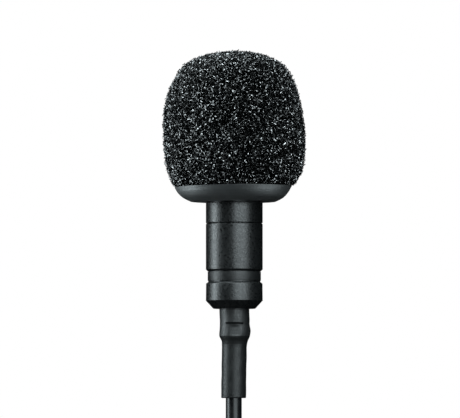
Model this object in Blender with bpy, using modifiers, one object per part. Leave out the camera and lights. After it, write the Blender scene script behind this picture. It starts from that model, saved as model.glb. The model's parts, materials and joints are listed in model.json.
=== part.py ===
"""Lavalier (clip-on) condenser microphone with a slip-on foam windscreen.

The microphone stands on its own axis: +Z runs from the cable towards the
windscreen, and the origin is the centre of the groove that a tie clip grips.
All values are in metres; the constants below are in millimetres times MM.

Order of the pieces, top to bottom: windscreen (foam, base cup, grip ring),
head with its grille, felt and electret capsule, barrel, rear cap, cable clamp,
strain relief, cable, and the spare cable folded into a tied hank with its
four-contact 3.5 mm plug hanging beside it.
"""

import math

import bmesh
import bpy
from mathutils import Vector

MM = 0.001

# ---------------------------------------------------------------- dimensions
# Body of the microphone
BODY_R = 2.84 * MM          # outer radius of head ring, barrel and rear cap
GROOVE_R = 2.66 * MM        # radius at the bottom of the clip groove
GROOVE_HALF = 0.52 * MM     # half the width of the clip groove
SHOULDER = 0.18 * MM        # bevel on each side of the groove
SEAM_Z = 5.28 * MM          # parting line between head and barrel
SEAM_GAP = 0.06 * MM
SEAM_BEVEL = 0.07 * MM
RING_TOP_Z = 7.36 * MM      # shoulder that the windscreen seats on
NECK_R = 2.50 * MM          # slim part of the head, inside the windscreen
HEAD_TOP_Z = 14.00 * MM
HEAD_BORE_R = 2.20 * MM
INLET_R = 1.70 * MM         # sound inlet in the top of the head
SPIGOT_R = 2.42 * MM        # spigots that go into the barrel
BARREL_BORE_R = 2.47 * MM
CAP_STRAIGHT_Z = -2.42 * MM # rear cap: start of its 45 degree chamfer
CAP_BOTTOM_Z = -3.22 * MM
CAP_FACE_R = 2.10 * MM      # outer radius of its flat end face
CAP_BORE_R = 2.00 * MM
CAP_HOLE_R = 1.56 * MM

# Strain relief
BOOT_R1 = 1.50 * MM         # upper section
BOOT_R2 = 1.22 * MM         # lower section
BOOT_STEP_Z = -6.00 * MM    # end of the upper section
BOOT_SLIM_Z = -6.80 * MM    # start of the lower section
BOOT_END_Z = -12.10 * MM
BOOT_FLANGE_R = 1.90 * MM
SLIT_Z = -4.68 * MM         # flex slit across the front of the upper section
SLIT_W = 1.70 * MM
SLIT_H = 0.17 * MM
SLIT_FLOOR_Y = -1.24 * MM

# Cable
CABLE_R = 0.80 * MM
CABLE_BORE_R = 0.84 * MM
CABLE_TOP_Z = -0.55 * MM    # jacket ends here, inside the rear cap

# Windscreen
FOAM_R = 7.07 * MM
FOAM_MID_Z = 13.45 * MM     # height of the widest part
FOAM_TOP_Z = 22.50 * MM
FOAM_LOW_B = 7.15 * MM      # half-axis of the lower part of the outline
FOAM_RIM_Z = 9.08 * MM
BASE_RIM_R = 5.70 * MM
BASE_RIM_Z = 9.00 * MM
BASE_BOTTOM_Z = 7.42 * MM
BASE_ARC_R = 3.20 * MM      # the cup's outline is a quarter ellipse from here
BASE_BORE_R = 2.62 * MM
COLLAR_R = 3.25 * MM
COLLAR_TOP_Z = 11.00 * MM
RING_GROOVE_R = 2.95 * MM
RING_GROOVE_Z = (8.60 * MM, 9.10 * MM)
GRIP_RING_R = (2.56 * MM, 2.88 * MM)
GRIP_RING_Z = (8.66 * MM, 9.04 * MM)

# Hank: the spare cable, wound as a long loop of turns and tied at the waist
PITCH = 1.66 * MM           # from one turn to the next
LAYERS = 3
COLUMNS = 6
FOLD_R = 6.00 * MM          # bend radius of the innermost fold
LOOP_R = FOLD_R + (LAYERS - 1) * PITCH
HANK_TOP_Z = -31.20 * MM    # centre of the upper folds
HANK_LEG = 9.90 * MM        # straight part of a run
HANK_BACK_Y = 2.10 * MM     # centre of the rearmost column of turns
WAIST_IN = 0.80 * MM        # how far the tie draws each leg inwards
WAIST_SPREAD = 5.50 * MM
LEAD_START_Z = -14.70 * MM  # the cable hangs straight down to here
TIE_HALF_H = 2.00 * MM
TIE_T = 0.90 * MM
GAP = 0.10 * MM

# Plug, hanging beside the hank
PLUG_X = 6.00 * MM
PLUG_Y = -11.30 * MM
PLUG_Z = -33.20 * MM        # top of its strain relief
PLUG_BOOT_L = 6.00 * MM
PLUG_BODY_L = 14.00 * MM
PLUG_BODY_R = 2.90 * MM
PLUG_R = 1.75 * MM          # 3.5 mm contacts
PLUG_FLANGE_R = 2.45 * MM
PLUG_CORE_R = 1.20 * MM
PLUG_L = 14.00 * MM         # from the shoulder to the end of the tip

ROUND = 48                  # sides of the outer turned pieces
ROUND_IN = 24               # sides of the inner ones


# ------------------------------------------------------------------- set up
for old in list(bpy.data.objects):
    bpy.data.objects.remove(old, do_unlink=True)

parts = bpy.data.collections.new("Lavalier microphone")
cutters = bpy.data.collections.new("Cutters")
bpy.context.scene.collection.children.link(parts)
bpy.context.scene.collection.children.link(cutters)


def material(name, colour, roughness, metallic=0.0):
    m = bpy.data.materials.new(name)
    m.use_nodes = True
    shader = m.node_tree.nodes["Principled BSDF"]
    shader.inputs["Base Color"].default_value = (*colour, 1.0)
    shader.inputs["Roughness"].default_value = roughness
    shader.inputs["Metallic"].default_value = metallic
    return m


def finish(obj, mat):
    obj.data.materials.clear()
    obj.data.materials.append(mat)
    for p in obj.data.polygons:
        p.use_smooth = True
    obj.data.set_sharp_from_angle(angle=math.radians(28))
    return obj


def empty(name, place):
    e = bpy.data.objects.new(name, None)
    e.location = place
    e.empty_display_size = 2 * MM
    parts.objects.link(e)
    return e


def turned(name, outline, mat, sides=ROUND_IN, closed=True, parent=None):
    """Turns an outline of (radius, height) about Z. It starts at the top of the
    outer side and runs down it. An open outline starts and ends on the axis."""
    mesh = bpy.data.meshes.new(name)
    bm = bmesh.new()
    ring = [bm.verts.new((r, 0.0, z)) for r, z in outline]
    for a, b in zip(ring, ring[1:]):
        bm.edges.new((a, b))
    if closed:
        bm.edges.new((ring[-1], ring[0]))
    bm.to_mesh(mesh)
    bm.free()
    obj = bpy.data.objects.new(name, mesh)
    parts.objects.link(obj)
    if parent:
        obj.parent = parent
    screw = obj.modifiers.new("turn", "SCREW")
    screw.angle = 2 * math.pi
    screw.steps = sides
    screw.render_steps = sides
    screw.screw_offset = 0.0
    screw.use_merge_vertices = True
    screw.merge_threshold = 1e-6
    screw.use_smooth_shade = True
    mesh.materials.append(mat)
    return obj


def as_mesh(curve_obj, name, mat, parent=None):
    """Makes a curve's evaluated shape a mesh object, with its caps welded."""
    bpy.context.view_layer.update()
    graph = bpy.context.evaluated_depsgraph_get()
    mesh = bpy.data.meshes.new_from_object(curve_obj.evaluated_get(graph))
    bm = bmesh.new()
    bm.from_mesh(mesh)
    bmesh.ops.remove_doubles(bm, verts=bm.verts, dist=1e-6)
    bmesh.ops.recalc_face_normals(bm, faces=bm.faces)
    bm.to_mesh(mesh)
    bm.free()
    obj = bpy.data.objects.new(name, mesh)
    obj.matrix_world = curve_obj.matrix_world.copy()
    parts.objects.link(obj)
    data = curve_obj.data
    bpy.data.objects.remove(curve_obj, do_unlink=True)
    bpy.data.curves.remove(data)
    if parent:
        obj.parent = parent
        obj.matrix_parent_inverse = parent.matrix_world.inverted()
    return finish(obj, mat)


def plate(name, loops, thickness, place, rotation, mat):
    """A flat outline with holes: the first loop is the outside."""
    curve = bpy.data.curves.new(name + "_outline", "CURVE")
    curve.dimensions = "2D"
    curve.fill_mode = "BOTH"
    curve.extrude = thickness / 2
    for loop in loops:
        s = curve.splines.new("POLY")
        s.points.add(len(loop) - 1)
        for p, (x, y) in zip(s.points, loop):
            p.co = (x, y, 0.0, 1.0)
        s.use_cyclic_u = True
    obj = bpy.data.objects.new(name + "_outline", curve)
    obj.location = place
    obj.rotation_euler = rotation
    parts.objects.link(obj)
    return as_mesh(obj, name, mat)


def circle(r, n, cx=0.0, cy=0.0):
    return [
        (cx + r * math.cos(2 * math.pi * i / n), cy + r * math.sin(2 * math.pi * i / n))
        for i in range(n)
    ]


def tube(name, points, radius, mat, resolution=2):
    """A round wire or cable along the points, with filled caps."""
    curve = bpy.data.curves.new(name, "CURVE")
    curve.dimensions = "3D"
    curve.bevel_depth = radius
    curve.bevel_resolution = resolution
    curve.use_fill_caps = True
    s = curve.splines.new("POLY")
    s.points.add(len(points) - 1)
    for p, q in zip(s.points, points):
        p.co = (*q, 1.0)
    obj = bpy.data.objects.new(name, curve)
    parts.objects.link(obj)
    curve.materials.append(mat)
    return obj


def block(name, size, place, mat):
    mesh = bpy.data.meshes.new(name)
    bm = bmesh.new()
    bmesh.ops.create_cube(bm, size=1.0)
    bmesh.ops.scale(bm, vec=Vector(size), verts=bm.verts)
    bm.to_mesh(mesh)
    bm.free()
    obj = bpy.data.objects.new(name, mesh)
    obj.location = place
    parts.objects.link(obj)
    return finish(obj, mat)


def smooth(t):
    t = min(1.0, max(0.0, t))
    return t * t * (3.0 - 2.0 * t)


# ---------------------------------------------------------------- materials
FOAM = material("foam_black", (0.012, 0.013, 0.013), 0.95)
BASE = material("base_plastic", (0.022, 0.025, 0.026), 0.45)
GRIP = material("grip_rubber", (0.02, 0.02, 0.02), 0.7)
BLACK = material("body_black", (0.018, 0.022, 0.023), 0.38, 0.4)
STEEL = material("steel", (0.55, 0.55, 0.54), 0.3, 1.0)
FELT = material("felt_grey", (0.10, 0.10, 0.10), 0.95)
RUBBER = material("rubber_black", (0.02, 0.022, 0.022), 0.5)
ALUMINIUM = material("aluminium", (0.75, 0.75, 0.76), 0.3, 1.0)
FILM = material("gold_film", (0.80, 0.62, 0.28), 0.25, 1.0)
BRASS = material("brass", (0.78, 0.58, 0.27), 0.3, 1.0)
WHITE = material("insulator_white", (0.75, 0.74, 0.70), 0.5)
BOARD = material("board_green", (0.03, 0.18, 0.07), 0.4)
CHIP = material("chip_black", (0.015, 0.015, 0.016), 0.4)
CERAMIC = material("chip_tan", (0.46, 0.32, 0.20), 0.5)
SOLDER = material("solder", (0.60, 0.60, 0.60), 0.3, 1.0)
WIRE_RED = material("wire_red", (0.45, 0.03, 0.02), 0.4)
WIRE_BARE = material("wire_copper", (0.72, 0.38, 0.22), 0.35, 1.0)
CABLE = material("cable_black", (0.012, 0.013, 0.014), 0.28)
TIE = material("tie_fabric", (0.02, 0.02, 0.022), 0.9)
NICKEL = material("plug_nickel", (0.72, 0.70, 0.66), 0.18, 1.0)
BAND = material("plug_band", (0.02, 0.02, 0.02), 0.4)


# ---------------------------------------------------------------- windscreen
windscreen_pivot = empty("windscreen_pivot", (0, 0, 0))

upper = [(0.0, FOAM_TOP_Z)]
for i in range(1, 10):
    a = math.pi / 2 * (1 - i / 9)
    upper.append(
        (
            FOAM_R * math.cos(a) ** (2 / 2.6),
            FOAM_MID_Z + (FOAM_TOP_Z - FOAM_MID_Z) * math.sin(a) ** (2 / 2.6),
        )
    )
lower = []
for i in range(1, 5):
    dz = (FOAM_MID_Z - FOAM_RIM_Z) * i / 4
    lower.append(
        (FOAM_R * (1 - (dz / FOAM_LOW_B) ** 2.2) ** (1 / 2.2), FOAM_MID_Z - dz)
    )
turned(
    "windscreen_foam",
    upper
    + lower
    + [
        (5.28 * MM, FOAM_RIM_Z),
        (5.05 * MM, 8.72 * MM),
        (4.50 * MM, 8.30 * MM),
        (COLLAR_R + 0.08 * MM, 8.30 * MM),
        (COLLAR_R + 0.08 * MM, COLLAR_TOP_Z + 0.08 * MM),
        (BASE_BORE_R, COLLAR_TOP_Z + 0.08 * MM),
        (BASE_BORE_R, HEAD_TOP_Z + 0.20 * MM),
        (0.0, HEAD_TOP_Z + 0.20 * MM),
    ],
    FOAM,
    sides=ROUND_IN,
    closed=False,
    parent=windscreen_pivot,
)

cup = []
for i in range(7):
    a = math.pi / 2 * i / 6
    cup.append(
        (
            BASE_ARC_R + (BASE_RIM_R - BASE_ARC_R) * math.cos(a),
            BASE_RIM_Z - (BASE_RIM_Z - BASE_BOTTOM_Z) * math.sin(a),
        )
    )
turned(
    "windscreen_base",
    [
        (COLLAR_R, COLLAR_TOP_Z),
        (COLLAR_R, 8.20 * MM),
        (4.55 * MM, 8.20 * MM),
        (5.15 * MM, 8.66 * MM),
        (5.38 * MM, BASE_RIM_Z),
    ]
    + cup
    + [
        (BASE_BORE_R, BASE_BOTTOM_Z),
        (BASE_BORE_R, RING_GROOVE_Z[0]),
        (RING_GROOVE_R, RING_GROOVE_Z[0]),
        (RING_GROOVE_R, RING_GROOVE_Z[1]),
        (BASE_BORE_R, RING_GROOVE_Z[1]),
        (BASE_BORE_R, COLLAR_TOP_Z),
    ],
    BASE,
    sides=ROUND,
    parent=windscreen_pivot,
)
turned(
    "windscreen_grip_ring",
    [
        (GRIP_RING_R[1], GRIP_RING_Z[1]),
        (GRIP_RING_R[1], GRIP_RING_Z[0]),
        (GRIP_RING_R[0] + 0.06 * MM, GRIP_RING_Z[0]),
        (GRIP_RING_R[0], GRIP_RING_Z[0] + 0.10 * MM),
        (GRIP_RING_R[0], GRIP_RING_Z[1] - 0.10 * MM),
        (GRIP_RING_R[0] + 0.06 * MM, GRIP_RING_Z[1]),
    ],
    GRIP,
    sides=ROUND_IN,
    parent=windscreen_pivot,
)

# ---------------------------------------------------------------------- head
turned(
    "front_cap",
    [
        (NECK_R - 0.18 * MM, HEAD_TOP_Z),
        (NECK_R, HEAD_TOP_Z - 0.18 * MM),
        (NECK_R, RING_TOP_Z),
        (BODY_R - 0.06 * MM, RING_TOP_Z),
        (BODY_R, RING_TOP_Z - 0.06 * MM),
        (BODY_R, SEAM_Z + SEAM_GAP / 2 + SEAM_BEVEL),
        (BODY_R - SEAM_BEVEL, SEAM_Z + SEAM_GAP / 2),
        (SPIGOT_R, SEAM_Z + SEAM_GAP / 2),
        (SPIGOT_R, 4.20 * MM),
        (HEAD_BORE_R, 4.20 * MM),
        (HEAD_BORE_R, HEAD_TOP_Z - 0.30 * MM),
        (INLET_R, HEAD_TOP_Z - 0.30 * MM),
        (INLET_R, HEAD_TOP_Z),
    ],
    BLACK,
    sides=ROUND,
)

holes = [
    circle(0.20 * MM, 8, 0.78 * MM * (i + j / 2), 0.78 * MM * j * math.sqrt(3) / 2)
    for i in range(-2, 3)
    for j in range(-2, 3)
    if abs(i + j) <= 2
]
plate(
    "grille_mesh",
    [circle(2.14 * MM, ROUND_IN)] + holes,
    0.10 * MM,
    (0, 0, 13.60 * MM),
    (0, 0, 0),
    STEEL,
)
turned(
    "acoustic_felt",
    [(0, 13.50 * MM), (2.13 * MM, 13.50 * MM), (2.13 * MM, 13.26 * MM), (0, 13.26 * MM)],
    FELT,
    closed=False,
)
turned(
    "grille_retainer",
    [
        (2.14 * MM, 13.20 * MM),
        (2.14 * MM, 12.98 * MM),
        (1.70 * MM, 12.98 * MM),
        (1.70 * MM, 13.20 * MM),
    ],
    STEEL,
)
turned(
    "capsule_sleeve",
    [
        (2.15 * MM, 12.90 * MM),
        (2.15 * MM, 9.60 * MM),
        (1.50 * MM, 9.60 * MM),
        (1.50 * MM, 9.80 * MM),
        (2.02 * MM, 9.80 * MM),
        (2.02 * MM, 12.90 * MM),
    ],
    RUBBER,
)
turned(
    "capsule_can",
    [
        (1.98 * MM, 12.60 * MM),
        (1.98 * MM, 9.90 * MM),
        (1.60 * MM, 9.90 * MM),
        (1.60 * MM, 10.02 * MM),
        (1.87 * MM, 10.02 * MM),
        (1.87 * MM, 12.48 * MM),
        (0.35 * MM, 12.48 * MM),
        (0.35 * MM, 12.60 * MM),
    ],
    ALUMINIUM,
)
turned(
    "diaphragm_ring",
    [
        (1.82 * MM, 12.42 * MM),
        (1.82 * MM, 12.28 * MM),
        (1.45 * MM, 12.28 * MM),
        (1.45 * MM, 12.42 * MM),
    ],
    BRASS,
)
turned(
    "diaphragm",
    [(0, 12.24 * MM), (1.82 * MM, 12.24 * MM), (1.82 * MM, 12.21 * MM), (0, 12.21 * MM)],
    FILM,
    closed=False,
)
turned(
    "spacer_washer",
    [
        (1.82 * MM, 12.18 * MM),
        (1.82 * MM, 12.14 * MM),
        (1.55 * MM, 12.14 * MM),
        (1.55 * MM, 12.18 * MM),
    ],
    WHITE,
)
plate(
    "backplate",
    [circle(1.48 * MM, ROUND_IN)]
    + [
        circle(0.13 * MM, 8, 0.8 * MM * math.cos(a), 0.8 * MM * math.sin(a))
        for a in (0.0, math.pi / 2, math.pi, 3 * math.pi / 2)
    ],
    0.22 * MM,
    (0, 0, 11.95 * MM),
    (0, 0, 0),
    BRASS,
)
turned(
    "capsule_insulator",
    [
        (1.82 * MM, 12.10 * MM),
        (1.82 * MM, 10.45 * MM),
        (1.30 * MM, 10.45 * MM),
        (1.30 * MM, 11.80 * MM),
        (1.54 * MM, 11.80 * MM),
        (1.54 * MM, 12.10 * MM),
    ],
    WHITE,
)
turned(
    "contact_ring",
    [
        (1.22 * MM, 11.80 * MM),
        (1.22 * MM, 10.45 * MM),
        (1.08 * MM, 10.45 * MM),
        (1.08 * MM, 11.80 * MM),
    ],
    BRASS,
)
turned(
    "capsule_board",
    [(0, 10.40 * MM), (1.82 * MM, 10.40 * MM), (1.82 * MM, 10.10 * MM), (0, 10.10 * MM)],
    BOARD,
    closed=False,
)
block("jfet_chip", (0.90 * MM, 0.60 * MM, 0.40 * MM), (0, 0, 10.65 * MM), CHIP)
block(
    "chip_capacitor_a",
    (0.50 * MM, 0.25 * MM, 0.25 * MM),
    (0, 0.62 * MM, 10.58 * MM),
    CERAMIC,
)
block(
    "chip_capacitor_b",
    (0.50 * MM, 0.25 * MM, 0.25 * MM),
    (0, -0.62 * MM, 10.58 * MM),
    CERAMIC,
)

# Solder domes under the board, and the two conductors down to the cable
for name, x in (("solder_signal", 0.60 * MM), ("solder_ground", -0.60 * MM)):
    pad = empty(name + "_place", (x, 0, 10.05 * MM))
    turned(
        name,
        [
            (0, 0),
            (0.32 * MM, 0),
            (0.28 * MM, -0.10 * MM),
            (0.16 * MM, -0.18 * MM),
            (0, -0.21 * MM),
        ],
        SOLDER,
        sides=12,
        closed=False,
        parent=pad,
    )
for name, side, radius, mat in (
    ("signal_wire", 1, 0.20 * MM, WIRE_RED),
    ("ground_wire", -1, 0.16 * MM, WIRE_BARE),
):
    run = []
    for i in range(17):
        t = i / 16
        z = 9.79 * MM + (CABLE_TOP_Z + 0.10 * MM - 9.79 * MM) * t
        x = side * (0.60 - 0.30 * smooth(t)) * MM
        y = side * 0.45 * MM * math.sin(2 * math.pi * t) * math.sin(math.pi * t)
        run.append((x, y, z))
    tube(name, run, radius, mat)

# ------------------------------------------------------- barrel and rear cap
turned(
    "barrel",
    [
        (BODY_R - SEAM_BEVEL, SEAM_Z - SEAM_GAP / 2),
        (BODY_R, SEAM_Z - SEAM_GAP / 2 - SEAM_BEVEL),
        (BODY_R, GROOVE_HALF + SHOULDER),
        (GROOVE_R, GROOVE_HALF),
        (BARREL_BORE_R, GROOVE_HALF),
        (BARREL_BORE_R, SEAM_Z - SEAM_GAP / 2),
    ],
    BLACK,
    sides=ROUND,
)
turned(
    "rear_cap",
    [
        (SPIGOT_R, 2.20 * MM),
        (SPIGOT_R, GROOVE_HALF - 0.05 * MM),
        (GROOVE_R, GROOVE_HALF - 0.05 * MM),
        (GROOVE_R, -GROOVE_HALF),
        (BODY_R, -GROOVE_HALF - SHOULDER),
        (BODY_R, CAP_STRAIGHT_Z),
        (CAP_FACE_R, CAP_BOTTOM_Z),
        (CAP_HOLE_R, CAP_BOTTOM_Z),
        (CAP_HOLE_R, -2.45 * MM),
        (CAP_BORE_R, -2.45 * MM),
        (CAP_BORE_R, 2.20 * MM),
    ],
    BLACK,
    sides=ROUND,
)
turned(
    "crimp_ferrule",
    [
        (1.15 * MM, -0.85 * MM),
        (1.15 * MM, -1.65 * MM),
        (0.84 * MM, -1.65 * MM),
        (0.84 * MM, -0.85 * MM),
    ],
    BRASS,
)

# ------------------------------------------------------------- strain relief
boot = [
    (BOOT_FLANGE_R, -1.75 * MM),
    (BOOT_FLANGE_R, -2.38 * MM),
    (BOOT_R1, -2.38 * MM),
    (BOOT_R1, -3.60 * MM),
    (BOOT_R1 - 0.01 * MM, BOOT_STEP_Z),
]
for i in range(1, 5):
    t = i / 5
    boot.append(
        (
            BOOT_R1 + (BOOT_R2 - BOOT_R1) * smooth(t),
            BOOT_STEP_Z + (BOOT_SLIM_Z - BOOT_STEP_Z) * t,
        )
    )
boot += [
    (BOOT_R2, BOOT_SLIM_Z),
    (BOOT_R2, BOOT_END_Z + 0.12 * MM),
    (BOOT_R2 - 0.10 * MM, BOOT_END_Z),
    (CABLE_BORE_R, BOOT_END_Z),
    (CABLE_BORE_R, -1.75 * MM),
]
strain_relief = turned("strain_relief", boot, RUBBER, sides=36)

slit = bpy.data.meshes.new("flex_slit_cutter")
bm = bmesh.new()
bmesh.ops.create_cube(bm, size=1.0)
bmesh.ops.scale(bm, vec=Vector((SLIT_W, 1.0 * MM, SLIT_H)), verts=bm.verts)
bm.to_mesh(slit)
bm.free()
slit_cutter = bpy.data.objects.new("flex_slit_cutter", slit)
slit_cutter.location = (0, SLIT_FLOOR_Y - 0.5 * MM, SLIT_Z)
slit_cutter.hide_render = True
slit_cutter.display_type = "WIRE"
cutters.objects.link(slit_cutter)
cut = strain_relief.modifiers.new("flex_slit", "BOOLEAN")
cut.operation = "DIFFERENCE"
cut.solver = "EXACT"
cut.object = slit_cutter

# -------------------------------------------------------------- cable, hank


def lead(t):
    """The cable's way from straight below the microphone to the hank's right
    leg, t from 0 to 1."""
    return (
        LOOP_R * smooth(t),
        HANK_BACK_Y * smooth(t / 0.5),
        LEAD_START_Z + (HANK_TOP_Z - LEAD_START_Z) * t,
    )


straight = [
    (0, 0, CABLE_TOP_Z + (LEAD_START_Z - CABLE_TOP_Z) * i / 7) for i in range(8)
]
tube(
    "cable_run",
    straight + [lead(0.04 * i) for i in range(1, 10)],
    CABLE_R,
    CABLE,
)

HANK_BOTTOM_Z = HANK_TOP_Z - HANK_LEG
WAIST_Z = (HANK_TOP_Z + HANK_BOTTOM_Z) / 2
HANK_T = (COLUMNS - 1) * PITCH + 2 * CABLE_R
HANK_MID_Y = HANK_BACK_Y - (COLUMNS - 1) * PITCH / 2


def waist(x, z):
    pull = WAIST_IN * math.exp(-(((z - WAIST_Z) / WAIST_SPREAD) ** 2))
    return x - math.copysign(pull, x) if abs(x) > 1 * MM else x


outer_r = LOOP_R + CABLE_R
outline = []
for i in range(13):
    a = math.pi * i / 12
    outline.append((outer_r * math.cos(a), HANK_TOP_Z + outer_r * math.sin(a)))
for i in range(1, 10):
    outline.append((-outer_r, HANK_TOP_Z - HANK_LEG * i / 10))
for i in range(13):
    a = math.pi + math.pi * i / 12
    outline.append((outer_r * math.cos(a), HANK_BOTTOM_Z + outer_r * math.sin(a)))
for i in range(1, 10):
    outline.append((outer_r, HANK_BOTTOM_Z + HANK_LEG * i / 10))
outline = [(waist(x, z), z) for x, z in outline]
plate(
    "cable_hank",
    [outline],
    HANK_T,
    (0, HANK_MID_Y, 0),
    (math.pi / 2, 0, 0),
    CABLE,
)


def rounded_box(hx, hy, r, n=4):
    out = []
    for k, (sx, sy) in enumerate(((1, 1), (-1, 1), (-1, -1), (1, -1))):
        for i in range(n + 1):
            a = math.pi / 2 * (k + i / n)
            out.append(
                (sx * (hx - r) + r * math.cos(a), sy * (hy - r) + r * math.sin(a))
            )
    return out


tie_x = waist(outer_r, WAIST_Z + TIE_HALF_H) + GAP
tie_y = HANK_T / 2 + GAP
plate(
    "cable_tie",
    [
        rounded_box(tie_x + TIE_T, tie_y + TIE_T, TIE_T),
        rounded_box(tie_x, tie_y, 0.05 * MM, 1),
    ],
    2 * TIE_HALF_H,
    (0, HANK_MID_Y, WAIST_Z),
    (0, 0, 0),
    TIE,
)

# The cable's far end leaves the inner fold, comes forward and drops into the plug
FRONT_Y = HANK_BACK_Y - (COLUMNS - 1) * PITCH
tail = []
for i in range(9, 19):
    t = i / 18
    a = math.pi * (1 - t)
    tail.append(
        (
            FOLD_R * math.cos(a),
            FRONT_Y + (PLUG_Y - FRONT_Y) * smooth(t),
            HANK_TOP_Z + FOLD_R * math.sin(a),
        )
    )
tail += [
    (PLUG_X, PLUG_Y, HANK_TOP_Z - 1.5 * MM),
    (PLUG_X, PLUG_Y, PLUG_Z - 3.0 * MM),
    (PLUG_X, PLUG_Y, PLUG_Z - PLUG_BOOT_L - 2.5 * MM),
]
tube("cable_tail", tail, CABLE_R, CABLE)

# ---------------------------------------------------------------------- plug
plug = empty("plug_axis", (PLUG_X, PLUG_Y, PLUG_Z))
rib = []
for k in range(3):
    z = -(1.6 + 1.3 * k) * MM
    r = (1.16 + 0.44 * (-z / PLUG_BOOT_L)) * MM
    rib += [
        (r, z),
        (r - 0.22 * MM, z - 0.10 * MM),
        (r - 0.20 * MM, z - 0.50 * MM),
        (r + 0.03 * MM, z - 0.60 * MM),
    ]
turned(
    "plug_boot",
    [(1.05 * MM, 0), (1.15 * MM, -0.12 * MM)]
    + rib
    + [
        (1.60 * MM, -PLUG_BOOT_L),
        (CABLE_BORE_R, -PLUG_BOOT_L),
        (CABLE_BORE_R, 0),
    ],
    RUBBER,
    sides=24,
    parent=plug,
)
BODY_TOP = -PLUG_BOOT_L - 0.05 * MM
BODY_END = BODY_TOP - PLUG_BODY_L
turned(
    "plug_body",
    [
        (1.95 * MM, BODY_TOP),
        (2.45 * MM, BODY_TOP - 0.25 * MM),
        (2.78 * MM, BODY_TOP - 0.90 * MM),
        (PLUG_BODY_R, BODY_TOP - 2.20 * MM),
        (PLUG_BODY_R, BODY_END + 0.35 * MM),
        (PLUG_BODY_R - 0.30 * MM, BODY_END),
        (1.80 * MM, BODY_END),
        (1.80 * MM, BODY_END + 4.2 * MM),
        (0.88 * MM, BODY_END + 4.2 * MM),
        (0.88 * MM, BODY_TOP),
    ],
    BLACK,
    sides=32,
    parent=plug,
)
SHOULDER_Z = BODY_END - 0.05 * MM - 0.80 * MM  # face that meets the socket


def along(depth):
    """Height of a point at this depth beyond the plug's shoulder."""
    return SHOULDER_Z - depth * MM


turned(
    "plug_sleeve",
    [
        (PLUG_R, BODY_END + 3.9 * MM),
        (PLUG_R, BODY_END - 0.05 * MM),
        (PLUG_FLANGE_R, BODY_END - 0.05 * MM),
        (PLUG_FLANGE_R, SHOULDER_Z),
        (PLUG_R, SHOULDER_Z),
        (PLUG_R, along(4.9)),
        (PLUG_CORE_R + 0.04 * MM, along(4.9)),
        (PLUG_CORE_R + 0.04 * MM, BODY_END + 3.9 * MM),
    ],
    NICKEL,
    parent=plug,
)
for name, start, end, inset, mat in (
    ("plug_insulator_sleeve", 4.93, 5.50, 0.03, BAND),
    ("plug_ring_2", 5.53, 7.60, 0.0, NICKEL),
    ("plug_insulator_middle", 7.63, 8.20, 0.03, BAND),
    ("plug_ring_1", 8.23, 10.20, 0.0, NICKEL),
    ("plug_insulator_tip", 10.23, 10.80, 0.03, BAND),
):
    turned(
        name,
        [
            (PLUG_R - inset * MM, along(start)),
            (PLUG_R - inset * MM, along(end)),
            (PLUG_CORE_R + 0.04 * MM, along(end)),
            (PLUG_CORE_R + 0.04 * MM, along(start)),
        ],
        mat,
        parent=plug,
    )
turned(
    "plug_core",
    [
        (PLUG_CORE_R, BODY_END + 3.9 * MM),
        (PLUG_CORE_R, along(10.78)),
        (0.50 * MM, along(10.78)),
        (0.50 * MM, BODY_END + 3.9 * MM),
    ],
    BAND,
    parent=plug,
)
turned(
    "plug_tip",
    [
        (0, BODY_END + 4.1 * MM),
        (0.45 * MM, BODY_END + 4.1 * MM),
        (0.45 * MM, along(10.84)),
        (PLUG_R, along(10.84)),
        (PLUG_R, along(11.20)),
        (1.28 * MM, along(12.05)),
        (1.55 * MM, along(12.55)),
        (1.70 * MM, along(12.85)),
        (1.45 * MM, along(13.45)),
        (0.70 * MM, along(13.95)),
        (0, along(14.00)),
    ],
    NICKEL,
    closed=False,
    parent=plug,
)
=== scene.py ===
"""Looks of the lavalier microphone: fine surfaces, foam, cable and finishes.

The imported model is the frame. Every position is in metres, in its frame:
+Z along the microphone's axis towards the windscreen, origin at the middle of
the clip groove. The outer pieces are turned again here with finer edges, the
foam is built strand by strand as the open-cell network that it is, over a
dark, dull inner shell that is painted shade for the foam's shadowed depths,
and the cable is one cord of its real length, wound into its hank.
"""

import json
import math

import bmesh
import bpy
import numpy as np
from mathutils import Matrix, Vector, kdtree

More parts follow.
